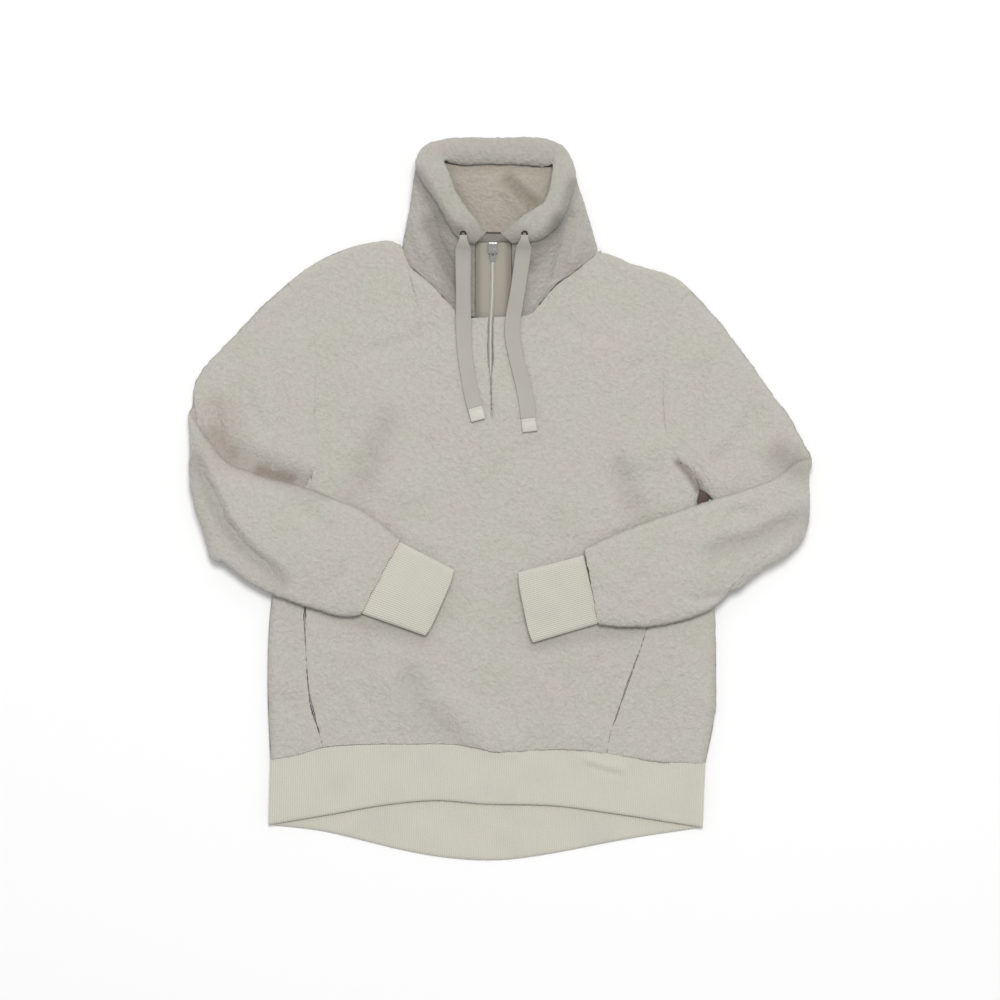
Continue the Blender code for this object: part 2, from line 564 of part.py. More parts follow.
def slider_and_pull():
    """The slider with its bridge, and the pull tab that turns on a bar under the bridge."""
    slope = Matrix.Translation(SLIDER_SPOT) @ Matrix.Rotation(ZIP_SLOPE, 4, "X")
    floor = 0.0004 + PLATE[2]
    lifted = Matrix.Translation((0, 0, floor - PLATE[2] / 2))
    plate = box("zip_slider", "metal", PLATE, slope @ lifted, 0.0007)
    near, far, inside, top = -HINGE_AHEAD - 0.0029, 0.0052, 0.0026, 0.0038
    staple = [(near, floor - 0.0005), (near, floor + top), (far, floor + top), (far, floor - 0.0005),
              (far - 0.0011, floor - 0.0005), (far - 0.0011, floor + inside),
              (near + 0.0011, floor + inside), (near + 0.0011, floor - 0.0005)]
    joined(plate, extruded("bridge", "metal", staple, 0.0025, slope))

    hinge = Matrix.Translation((0, -HINGE_AHEAD, HINGE_HEIGHT))
    lie = slope @ hinge @ Matrix.Rotation(TAB_TILT, 4, "X")
    tab = box("pull_tab", "metal", (TAB_WIDTH, TAB_LENGTH, 0.0011),
              lie @ Matrix.Translation((0, -TAB_LENGTH / 2 + 0.0006, 0)), 0.0004)
    opening = Matrix.Translation((0, -0.0037, 0))
    window = box("window", "metal", (0.0032, 0.0062, 0.0040), lie @ opening, 0.0003)
    joined(tab, window, "DIFFERENCE")
    tab.data.transform(Matrix.Translation(-pull_hinge()))
    tab.location = pull_hinge()


def pull_hinge():
    """Where the pull tab turns."""
    return SLIDER_SPOT + Matrix.Rotation(ZIP_SLOPE, 3, "X") @ Vector((0, -HINGE_AHEAD, HINGE_HEIGHT))


def eyelets():
    """Two rings set in the rolled rim, above the drawcord's tunnel."""
    tilt = Matrix.Rotation(math.radians(22), 4, "X")
    for name, x, z in EYELETS:
        bm = bmesh.new()
        profile = [bm.verts.new((0.0030 + 0.0009 * math.cos(a), 0, 0.0009 * math.sin(a)))
                   for a in (math.radians(60 * k) for k in range(6))]
        ring = [bm.edges.new((profile[k], profile[(k + 1) % 6])) for k in range(6)]
        bmesh.ops.spin(bm, geom=profile + ring, axis=(0, 0, 1), cent=(0, 0, 0), steps=18, angle=math.tau)
        bmesh.ops.remove_doubles(bm, verts=bm.verts, dist=0.00005)
        bmesh.ops.recalc_face_normals(bm, faces=bm.faces)
        mesh = bpy.data.meshes.new(name)
        bm.to_mesh(mesh)
        bm.free()
        mesh.transform(Matrix.Translation((x, 0.3035, z)) @ tilt)
        new_object(name, mesh, "dark_metal")


def flat_strip(name, finish, route, width, half, close_ends=0.0):
    """A flat tape that follows a route, its width level."""
    upper, lower = [], []
    for k, point in enumerate(route):
        ahead, behind = route[min(k + 1, len(route) - 1)], route[max(k - 1, 0)]
        way = (ahead - behind).normalized()
        side = way.cross(Vector((0, 0, 1))).normalized()
        up = side.cross(way).normalized()
        narrow = 1 - (close_ends if k in (0, len(route) - 1) else 0.0)
        row = [(-0.5, 0.35), (-0.44, 1.0), (0.44, 1.0), (0.5, 0.35)]
        upper.append([point + side * s * width * narrow + up * half * h for s, h in row])
        lower.append([point + side * s * width * narrow - up * half * h for s, h in row])
    return closed(name, finish, upper, lower)


def drawcords():
    for side, table in (("left", CORD_LEFT), ("right", CORD_RIGHT)):
        points = [Vector(row) for row in table]
        curve = along(points)
        route = [curve(k / 18) for k in range(19)]
        flat_strip("drawcord_" + side, "cord", route, CORD_WIDTH, CORD_HALF)
        way = (points[-1] - points[-2]).normalized()
        start = points[-1] + way * 0.0005
        tip = [start + way * TIP_LENGTH * share for share in (0.0, 0.12, 0.88, 1.0)]
        flat_strip("cord_tip_" + side, "tip", tip, CORD_WIDTH * 0.92, TIP_HALF, 0.08)


def sewn(_):
    return SEWN


def silhouette(_):
    return SILHOUETTE


def shoulders(u):
    return SEWN if 0.276 < u < 0.779 else SILHOUETTE


def joined_curves(lower, upper):
    """Two outlines, end to end, by their length from 0 to 1."""
    return along(list(lower) + list(upper)[1:])


def shifted(curve, offset):
    """A boundary moved sideways by an offset that may change along it."""
    def at(t):
        spot = curve(t)
        return Vector((spot.x + offset(spot), spot.y))
    return at


def body():
    """The back, the front's three panels and the two hem bands."""
    back_plan = patch(across(HEM_BACK), across(BACK_TOP_EDGE), joined_curves(SIDE_LEFT, ARMHOLE_LEFT),
                      joined_curves(SIDE_RIGHT, ARMHOLE_RIGHT))
    shares = steps((0.006, 1), (0.02, 1), (0.98, 8), (0.994, 1), (1.0, 1))
    rows = steps((0.006, 1), (0.02, 1), (0.48, 4), (0.66, 6), (0.98, 5), (0.994, 1), (1.0, 1))
    panel("back", "fleece", back_plan, shares, rows, FLEECE, (silhouette, silhouette, sewn, silhouette),
          face_down=True)

    left = joined_curves(POCKET_SEAM_LEFT, ARMHOLE_LEFT[3:])
    right = joined_curves(POCKET_SEAM_RIGHT, ARMHOLE_RIGHT[2:])
    bottom = across(HEM_FRONT, POCKET_SEAM_LEFT[0][0], POCKET_SEAM_RIGHT[0][0])
    low, high = FRONT_TOP[0][0], FRONT_TOP[-1][0]
    plan = patch(lambda u: bottom(u + 0.27 * u * (1 - u)), across(FRONT_TOP), left, right)
    us = steps((0.008, 1), (0.025, 1), (0.07, 1), (0.2, 2))
    us += [(x - low) / (high - low) for x, _ in FRONT_TOP[4:9]] + [0.4890, 0.5100]
    us += [(x - low) / (high - low) for x, _ in FRONT_TOP[10:15]] + [0.84, 0.93, 0.975, 0.992, 1.0]
    vs = steps((0.008, 1), (0.03, 1), (0.47, 4), (0.68, 6), (0.785, 1), (0.93, 2), (0.98, 1))
    vs += [0.994, 1.0]
    slit_column = us.index(0.4890)
    slit_row = next(i for i, v in enumerate(vs) if v > 0.78)
    slit = {(i, slit_column) for i in range(slit_row, len(vs) - 1)}
    panel("front", "fleece", plan, us, vs, FLEECE, (sewn, sewn, sewn, shoulders),
          lift=fold_height, skip=slit)

    def gape(sign):
        """The side panel's distance from the centre panel, wider at the pocket's opening."""
        low, high = POCKET_OPENING
        return lambda spot: sign * (2 * SEAM + (POCKET_GAPE if low < spot.y < high else 0.0))

    side_us = steps((0.05, 1), (0.14, 1), (0.9, 3), (0.97, 1), (1.0, 1))
    side_vs = steps((0.008, 1), (0.03, 1), (0.97, 9), (1.0, 1))
    for name, outline, seam, hole, sign in (
            ("front_side_left", SIDE_LEFT, POCKET_SEAM_LEFT, ARMHOLE_LEFT, -1),
            ("front_side_right", SIDE_RIGHT, POCKET_SEAM_RIGHT, ARMHOLE_RIGHT, 1)):
        outside, inside = along(outline), shifted(along(seam), gape(sign))
        ends = [(outside(0), inside(0)), (outside(1), inside(1))]
        if sign > 0:
            ends = [pair[::-1] for pair in ends]
        y_at = height_of(HEM_FRONT)
        foot, head = ends

        def lower(u, foot=foot, y_at=y_at):
            x = foot[0].x + (foot[1].x - foot[0].x) * u
            return Vector((x, y_at(x)))

        def upper(u, head=head):
            return head[0].lerp(head[1], u)
        walls = (outside, inside) if sign < 0 else (inside, outside)
        rims = (silhouette, sewn) if sign < 0 else (sewn, silhouette)
        us_here = side_us if sign < 0 else [1 - u for u in reversed(side_us)]
        panel(name, "fleece", patch(lower, upper, *walls), us_here, side_vs, FLEECE, (*rims, sewn, sewn))

    def band_top(points):
        inner = across(points)
        return lambda u: inner(u) - Vector((0, 1.5 * SEAM))

    shares = steps((0.006, 1), (0.02, 1), (0.98, 16), (0.994, 1), (1.0, 1))
    drops = steps((0.04, 1), (0.96, 2), (1.0, 1))
    for name, top_points, end_points, face_down in (
            ("hem_band_front", HEM_FRONT, BAND_FRONT_END, False),
            ("hem_band_back", HEM_BACK, BAND_BACK_END, True)):
        top, end = band_top(top_points), across(end_points)
        walls = [lambda v, u=u, top=top, end=end: end(u).lerp(top(u), v) for u in (0, 1)]
        panel(name, "rib", patch(end, top, *walls), shares, drops, RIB,
              (silhouette, silhouette, sewn, sewn), face_down=face_down)


for old in list(bpy.data.objects):
    bpy.data.objects.remove(old)
garment = bpy.data.collections.new("sherpa fleece pullover")
bpy.context.scene.collection.children.link(garment)
finishes = {}
for finish_name, (colour, roughness, metallic) in COLOURS.items():
    material = bpy.data.materials.new(finish_name)
    material.use_nodes = True
    shader = material.node_tree.nodes["Principled BSDF"]
    shader.inputs["Base Color"].default_value = (*colour, 1)
    shader.inputs["Roughness"].default_value = roughness
    shader.inputs["Metallic"].default_value = metallic
    finishes[finish_name] = material

body()
sleeve("sleeve_left", SLEEVE_LEFT, along(ARMHOLE_LEFT))
sleeve("sleeve_right", SLEEVE_RIGHT, along(ARMHOLE_RIGHT))
cuff("cuff_left", CUFF_LEFT)
cuff("cuff_right", CUFF_RIGHT)
collar()
collar_lining()
zip_tapes()
slider_and_pull()
eyelets()
drawcords()
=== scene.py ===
"""Looks of a sherpa fleece pullover that lies flat with its sleeves folded across it.

Metres, +Z up. The garment lies on z = 0 with its hem towards -Y, and left and right are as seen from above.
Every cloth piece is a wall on the form of its solid in the frame, finer than it and with its soft creases.
"""

import math

import bmesh
import bpy
import numpy as np
from bpy.props import FloatProperty, FloatVectorProperty, PointerProperty
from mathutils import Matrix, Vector


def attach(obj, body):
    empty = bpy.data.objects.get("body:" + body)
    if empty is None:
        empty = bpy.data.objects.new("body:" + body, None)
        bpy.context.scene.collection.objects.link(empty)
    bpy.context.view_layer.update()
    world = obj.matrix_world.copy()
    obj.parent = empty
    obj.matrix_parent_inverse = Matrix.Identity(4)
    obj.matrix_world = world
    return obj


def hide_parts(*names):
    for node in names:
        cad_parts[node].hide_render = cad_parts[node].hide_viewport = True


bl_info = {
    "name": "Sherpa fleece pullover",
    "version": (1, 0, 0),
    "blender": (4, 5, 0),
    "location": "View3D > Sidebar > Pullover",
    "description": "Builds the fleece, ribbing, zip and cords of a pullover around its packed frame",
    "category": "Object",
}

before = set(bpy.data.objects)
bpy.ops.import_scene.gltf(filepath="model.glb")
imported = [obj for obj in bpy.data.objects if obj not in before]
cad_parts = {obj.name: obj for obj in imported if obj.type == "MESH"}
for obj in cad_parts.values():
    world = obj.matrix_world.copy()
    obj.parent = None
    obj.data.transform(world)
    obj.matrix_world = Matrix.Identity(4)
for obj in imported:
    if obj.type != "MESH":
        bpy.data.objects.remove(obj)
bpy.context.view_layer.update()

FLEECE = 0.0050        # wall of the pile fleece
RIB = 0.0040           # wall of the rib bands
FRONT_LOW = 0.0053     # lower face of the front panel, which lies on the back
COLLAR_WALL = 0.0042
LINING_WALL = 0.0028
ROLL_HALF = 0.0065     # half the height of the collar's rolled rim
ROLL_TOP = 0.0460      # height of the rim's middle over the zip
ROLL_END = -5          # degrees, where the roll ends at its inner edge
SLEEVE_HALF = 0.00515  # half the thickness of a flattened sleeve
FOLD_HEIGHT = 0.01135  # height of the axis that a sleeve turns over at the elbow
FOLD_RADIUS = 0.0062
CUFF_HALF = 0.0032
CUFF_AROUND = 0.185
CUFF_DEPTH = 0.068
BAND_LENGTH = 0.505
BAND_DEPTH = 0.07
STAND_HEIGHT = 0.095   # the collar, from the neck seam to its rolled rim
LINING_HEIGHT = 0.075
PATCH_WIDTHS = {-1: 0.06, 1: 0.10}   # the front side panels, left and right
SLIT_SHARES = (0.4990, 0.5102)       # where the zip's slit is across the front
SLIT_FOOT = 0.785                    # and how far up the front it starts
NECKLINE = (0.276, 0.779)            # the stretch of the front's top edge that the collar is sewn to
SLIT = 0.0005          # gap between the two layers inside a sleeve
COARSE = 4             # cells of an outer face for each cell of the face that nobody sees
SILHOUETTE = (0.0100, 0.12)   # how far in an outer edge is rounded, and the share of the wall at its lip
SEAM = (0.0060, 0.84)         # the same at a seam

# Plan outlines, from the hem upward or from left to right: x, y
SIDE_LEFT = [(-0.264, -0.297), (-0.267, -0.212), (-0.264, -0.129), (-0.252, -0.055), (-0.239, -0.012)]
ARMHOLE_LEFT = [(-0.239, -0.012), (-0.235, 0), (-0.226, 0.012), (-0.216, 0.026), (-0.21, 0.044),
                (-0.21, 0.066), (-0.213, 0.09), (-0.213, 0.12), (-0.212, 0.17), (-0.2185, 0.206),
                (-0.243, 0.25)]
SIDE_RIGHT = [(0.236, -0.302), (0.246, -0.25), (0.248, -0.17), (0.243, -0.095), (0.233, -0.04),
              (0.227, -0.01), (0.229, 0.011)]
ARMHOLE_RIGHT = [(0.229, 0.011), (0.226, 0.021), (0.219, 0.03), (0.208, 0.042), (0.197, 0.06),
                 (0.19, 0.088), (0.188, 0.135), (0.193, 0.193), (0.202, 0.218), (0.218, 0.242)]
FRONT_TOP = [(-0.243, 0.25), (-0.216, 0.27), (-0.185, 0.2855), (-0.149, 0.2955), (-0.1155, 0.293),
             (-0.103, 0.266), (-0.082, 0.248), (-0.062, 0.227), (-0.044, 0.209), (-0.01, 0.208),
             (0.033, 0.209), (0.049, 0.226), (0.066, 0.245), (0.087, 0.26), (0.114, 0.283),
             (0.149, 0.272), (0.178, 0.263), (0.204, 0.254), (0.218, 0.242)]
BACK_TOP = FRONT_TOP[:4] + [(-0.1165, 0.291), (-0.05, 0.291), (0, 0.291), (0.05, 0.29),
                            (0.114, 0.285)] + FRONT_TOP[-4:]
HEM_FRONT = [(-0.264, -0.297), (-0.232, -0.292), (-0.203, -0.284), (-0.165, -0.281), (-0.116, -0.28),
             (-0.047, -0.281), (-0.002, -0.288), (0.068, -0.285), (0.122, -0.29), (0.17, -0.297),
             (0.236, -0.302)]
HEM_BACK = [(-0.264, -0.297), (-0.173, -0.322), (-0.081, -0.336), (-0.02, -0.34), (0.057, -0.335),
            (0.149, -0.321), (0.236, -0.302)]
BAND_FRONT_END = [(-0.266, -0.373), (-0.2, -0.362), (-0.137, -0.351), (-0.075, -0.345), (-0.02, -0.349),
                  (0.059, -0.351), (0.13, -0.36), (0.233, -0.376)]
BAND_BACK_END = [(-0.266, -0.373), (-0.2, -0.381), (-0.117, -0.401), (-0.06, -0.411), (0, -0.4135),
                 (0.059, -0.406), (0.142, -0.39), (0.233, -0.376)]
POCKET_LEFT = [(-0.203, -0.283), (-0.211, -0.252), (-0.218, -0.221), (-0.222, -0.164),
               (-0.223, -0.125), (-0.219, -0.055), (-0.216, 0.026)]
POCKET_RIGHT = [(0.122, -0.29), (0.127, -0.265), (0.142, -0.22), (0.162, -0.164),
                (0.184, -0.095), (0.203, -0.03), (0.219, 0.03)]
POCKET_OPENING = (-0.262, -0.122)   # lowest and highest y of the hand openings in those seams
POCKET_GAPE = 0.0016

# The largest folds of the front, low ridges: x0, y0, x1, y1, half width, height
FRONT_FOLDS = [
    (-0.01, 0.095, -0.01, 0.235, 0.1, 0.0042),
    (-0.15, 0.13, -0.12, 0.02, 0.045, 0.003),
    (0.12, 0.18, 0.16, 0.06, 0.045, 0.0035),
    (0.02, 0.04, 0.06, -0.01, 0.06, 0.002),
    (-0.08, -0.23, -0.01, -0.275, 0.04, 0.0035),
    (0.06, -0.215, 0.09, -0.27, 0.04, 0.0022),
]

# A sleeve's sections: the outer edge's x, y, the inner edge's x, y, the turn in degrees, the bow outward
SLEEVE_LEFT = [
    (-0.244, 0.2505, -0.24, -0.011, 0, 0), (-0.27, 0.227, -0.256, -0.018, 0, 0),
    (-0.293, 0.202, -0.272, -0.03, 0, 0), (-0.315, 0.1795, -0.286, -0.041, 0, 0.002),
    (-0.336, 0.157, -0.299, -0.052, 0, 0.004), (-0.349, 0.137, -0.309, -0.061, 0, 0.006),
    (-0.3525, 0.121, -0.315, -0.066, 0, 0.007), (-0.348, 0.11, -0.318, -0.068, 45, 0.008),
    (-0.348, 0.103, -0.319, -0.069, 90, 0.008), (-0.344, 0.09, -0.318, -0.07, 135, 0.008),
    (-0.334, 0.068, -0.315, -0.073, 180, 0.007), (-0.312, 0.043, -0.302, -0.084, 180, 0.004),
    (-0.283, 0.032, -0.281, -0.099, 180, 0), (-0.24, 0.02, -0.246, -0.115, 180, 0),
    (-0.19, 0.001, -0.209, -0.127, 180, 0), (-0.15, -0.018, -0.182, -0.133, 180, 0),
    (-0.1145, -0.0455, -0.1605, -0.1325, 180, 0),
]
SLEEVE_RIGHT = [
    (0.219, 0.2425, 0.23, 0.012, 0, 0), (0.244, 0.216, 0.243, 0.003, 0, 0),
    (0.268, 0.185, 0.252, -0.013, 0, 0), (0.292, 0.152, 0.257, -0.032, 0, 0.004),
    (0.314, 0.121, 0.26, -0.053, 0, 0.01), (0.334, 0.093, 0.262, -0.072, 0, 0.017),
    (0.346, 0.072, 0.264, -0.085, 0, 0.025), (0.35, 0.06, 0.266, -0.092, 45, 0.03),
    (0.351, 0.054, 0.267, -0.096, 90, 0.032), (0.348, 0.05, 0.266, -0.1, 135, 0.031),
    (0.339, 0.043, 0.262, -0.106, 180, 0.027), (0.318, 0.026, 0.252, -0.117, 180, 0.016),
    (0.284, 0.013, 0.236, -0.128, 180, 0.006), (0.24, -0.001, 0.209, -0.138, 180, 0),
    (0.19, -0.017, 0.173, -0.145, 180, 0), (0.138, -0.037, 0.138, -0.146, 180, 0),
    (0.0965, -0.0555, 0.113, -0.1435, 180, 0),
]
# A cuff's two ends: the upper edge's x, y and the lower edge's x, y
CUFF_LEFT = [(-0.113, -0.049, -0.156, -0.131), (-0.053, -0.08, -0.086, -0.1555)]
CUFF_RIGHT = [(0.092, -0.0645, 0.1105, -0.142), (0.0215, -0.083, 0.038, -0.1635)]

# The collar, in columns from the zip's left edge round the back to its right edge: the base's x, y, z,
# the rolled rim's outer edge x, y and inner edge x, y, its rise, and the angle at which the stand meets it
COLLAR = [
    (-0.029, 0.2105, 0.0145, -0.029, 0.2925, -0.0165, 0.3045, 0.045, 200),
    (-0.044, 0.2112, 0.0145, -0.043, 0.2945, -0.0245, 0.3165, 0.045, 200),
    (-0.061, 0.229, 0.0145, -0.058, 0.312, -0.035, 0.3295, 0.044, 200),
    (-0.081, 0.25, 0.0143, -0.073, 0.338, -0.0485, 0.35, 0.041, 200),
    (-0.1015, 0.268, 0.0135, -0.087, 0.359, -0.0585, 0.371, 0.0355, 200),
    (-0.11, 0.28, 0.0115, -0.095, 0.374, -0.063, 0.381, 0.027, 200),
    (-0.112, 0.2895, 0.0082, -0.0965, 0.384, -0.0645, 0.3845, 0.0185, 203),
    (-0.1115, 0.2925, 0.0054, -0.093, 0.3945, -0.0638, 0.3868, 0.0118, 212),
    (-0.1075, 0.2935, 0.003, -0.085, 0.4045, -0.0608, 0.3872, 0.006, 232),
    (-0.093, 0.293, 0.0005, -0.07, 0.4105, -0.0545, 0.385, 0.001, 258),
    (-0.05, 0.2925, 0, -0.035, 0.4133, -0.033, 0.383, 0, 270),
    (0, 0.2925, 0, -0.002, 0.4135, -0.002, 0.384, 0, 270),
    (0.05, 0.2925, 0, 0.033, 0.4133, 0.031, 0.382, 0, 270),
    (0.091, 0.2925, 0.0005, 0.058, 0.4105, 0.048, 0.38, 0.001, 258),
    (0.107, 0.2925, 0.003, 0.071, 0.4035, 0.056, 0.381, 0.006, 232),
    (0.111, 0.2915, 0.0054, 0.0785, 0.3945, 0.0595, 0.383, 0.0118, 212),
    (0.1125, 0.2885, 0.0082, 0.0835, 0.384, 0.0605, 0.381, 0.0185, 203),
    (0.1115, 0.283, 0.0115, 0.086, 0.37, 0.06, 0.374, 0.027, 200),
    (0.1, 0.2735, 0.0135, 0.084, 0.352, 0.0575, 0.361, 0.0355, 200),
    (0.083, 0.26, 0.0143, 0.0745, 0.328, 0.051, 0.343, 0.041, 200),
    (0.064, 0.246, 0.0145, 0.06, 0.308, 0.041, 0.3345, 0.044, 200),
    (0.047, 0.2265, 0.0145, 0.045, 0.2965, 0.028, 0.325, 0.045, 200),
    (0.033, 0.2112, 0.0145, 0.029, 0.294, 0.014, 0.314, 0.045, 200),
    (0.0135, 0.2105, 0.0145, 0.014, 0.2925, 0.001, 0.3045, 0.045, 200),
]

# The zip's line: x, y, height of the tape's upper face
ZIP_LINE = [
    (-0.0095, 0.095, 0.008), (-0.0105, 0.137, 0.008), (-0.0112, 0.177, 0.008),
    (-0.0108, 0.2, 0.008), (-0.0104, 0.208, 0.0082), (-0.0103, 0.211, 0.009),
    (-0.01, 0.216, 0.0112), (-0.009, 0.23, 0.0165), (-0.0085, 0.26, 0.0275),
    (-0.008, 0.294, 0.04),
]
ZIP_GAP = [(0.095, 0.0006), (0.12, 0.0007), (0.14, 0.001), (0.155, 0.0022), (0.172, 0.003),
           (0.19, 0.0024), (0.208, 0.0028)]   # y, half the width left open between the fleece edges

# Drawcords, from the eyelet to the tip: x, y, height of the cord's middle
CORD_LEFT = [
    (-0.042, 0.302, 0.0549), (-0.042, 0.297, 0.054), (-0.042, 0.2915, 0.0508),
    (-0.0421, 0.286, 0.0462), (-0.0421, 0.279, 0.0421), (-0.0421, 0.27, 0.0384),
    (-0.0421, 0.255, 0.0331), (-0.042, 0.24, 0.0279), (-0.042, 0.228, 0.0239),
    (-0.042, 0.218, 0.0209), (-0.042, 0.209, 0.0187), (-0.0419, 0.198, 0.0171),
    (-0.0414, 0.185, 0.0162), (-0.0404, 0.17, 0.016), (-0.0388, 0.156, 0.016),
    (-0.0362, 0.14, 0.016), (-0.0334, 0.125, 0.016), (-0.03, 0.111, 0.0164),
    (-0.0288, 0.1065, 0.0166),
]
CORD_RIGHT = [
    (0.028, 0.302, 0.0562), (0.0278, 0.297, 0.055), (0.0274, 0.2915, 0.0512),
    (0.0268, 0.286, 0.0462), (0.026, 0.279, 0.0421), (0.0248, 0.27, 0.0384),
    (0.0226, 0.255, 0.0331), (0.0204, 0.24, 0.0279), (0.0184, 0.228, 0.0239),
    (0.0166, 0.218, 0.0209), (0.0152, 0.209, 0.0187), (0.0142, 0.198, 0.0171),
    (0.0146, 0.185, 0.0162), (0.0168, 0.172, 0.016), (0.02, 0.158, 0.016),
    (0.0236, 0.143, 0.016), (0.0272, 0.128, 0.016), (0.0304, 0.112, 0.0158),
    (0.0318, 0.099, 0.0156), (0.0324, 0.094, 0.0155),
]
CORD_WIDTH = 0.0175
CORD_HALF = 0.001
TIP_LENGTH = 0.0155
TIP_GAP = 0.0002       # between a cord's end and its tip
TIP_HALF = 0.0017
TIP_WIDTH = 0.0168
TIP_WAIST = 0.23       # how far along a tip its waist is, as a share of its length

# Creases. Each is half its width, its height (below zero for a trough), then its line in plan
CREASES = {
    "front": [
        (0.016, -0.0022, (-0.133, 0.095), (-0.15, 0.05), (-0.167, 0.009)),
        (0.018, -0.0018, (0.132, 0.05), (0.15, 0.006), (0.16, -0.02)),
        (0.03, -0.002, (0.151, 0.17), (0.172, 0.124), (0.191, 0.066)),
        (0.024, -0.0024, (-0.11, -0.19), (-0.087, -0.239), (-0.047, -0.279)),
        (0.022, 0.0022, (-0.13, -0.19), (-0.115, -0.235), (-0.09, -0.27)),
        (0.012, -0.0012, (0.02, -0.06), (0.05, -0.085), (0.082, -0.08)),
        (0.014, -0.0016, (-0.07, 0.205), (-0.11, 0.18), (-0.16, 0.165)),
        (0.014, -0.0016, (0.06, 0.215), (0.095, 0.19), (0.14, 0.185)),
        (0.02, -0.0015, (-0.15, -0.15), (-0.16, -0.2), (-0.15, -0.25)),
        (0.018, -0.0014, (0.06, -0.19), (0.08, -0.225), (0.085, -0.27)),
    ],
    "sleeve_left_upper": [
        (0.014, -0.0026, (-0.328, 0.119), (-0.325, 0.087), (-0.32, 0.062)),
        (0.02, -0.003, (-0.32, 0.066), (-0.27, 0.04), (-0.203, 0.014)),
        (0.018, -0.0018, (-0.3, 0.14), (-0.285, 0.1), (-0.262, 0.07)),
        (0.012, -0.002, (-0.258, 0.16), (-0.25, 0.11), (-0.246, 0.07)),
    ],
    "sleeve_left_fore": [
        (0.0125, -0.0044, (-0.362, 0.066), (-0.33, 0.006), (-0.316, -0.026), (-0.293, -0.056),
         (-0.277, -0.07), (-0.242, -0.095)),
        (0.016, -0.0016, (-0.25, 0), (-0.215, -0.02), (-0.19, -0.045)),
        (0.012, -0.0014, (-0.2, -0.11), (-0.18, -0.085), (-0.165, -0.06)),
    ],
    "sleeve_right_upper": [
        (0.016, -0.0022, (0.236, 0.17), (0.226, 0.12), (0.222, 0.06)),
        (0.018, -0.0022, (0.3, 0.11), (0.27, 0.06), (0.24, 0.03)),
        (0.012, -0.0026, (0.207, 0.04), (0.222, 0.02), (0.232, 0.01)),
    ],
    "sleeve_right_fore": [
        (0.014, -0.0036, (0.35, -0.017), (0.285, -0.047), (0.24, -0.057)),
        (0.011, -0.0024, (0.298, -0.017), (0.275, -0.014), (0.257, -0.017)),
        (0.009, -0.002, (0.265, -0.108), (0.24, -0.112), (0.214, -0.116)),
        (0.012, -0.0026, (0.326, 0.049), (0.316, 0.04), (0.3, 0.03)),
        (0.014, -0.0016, (0.19, -0.04), (0.17, -0.08), (0.15, -0.11)),
    ],
    "collar": [
        (0.011, -0.006, (-0.093, 0.345), (-0.087, 0.339), (-0.074, 0.3), (-0.063, 0.274),
         (-0.051, 0.255), (-0.04, 0.235)),
        (0.012, 0.0022, (-0.104, 0.33), (-0.095, 0.3), (-0.08, 0.27)),
        (0.012, -0.005, (0.085, 0.335), (0.078, 0.31), (0.07, 0.278), (0.062, 0.242)),
        (0.012, 0.002, (0.098, 0.31), (0.09, 0.285), (0.08, 0.265)),
    ],
    "hem_band_front": [
        (0.012, 0.0012, (-0.024, -0.287), (0.026, -0.289)),
        (0.008, 0.0014, (0.093, -0.296), (0.12, -0.304), (0.147, -0.31)),
        (0.006, -0.0008, (0.093, -0.303), (0.12, -0.312), (0.147, -0.318)),
    ],
    "collar_lining": [
        (0.01, -0.0022, (0.006, 0.372), (0.025, 0.352), (0.043, 0.333)),
        (0.012, 0.002, (0, 0.362), (0.018, 0.342), (0.032, 0.324)),
    ],
}
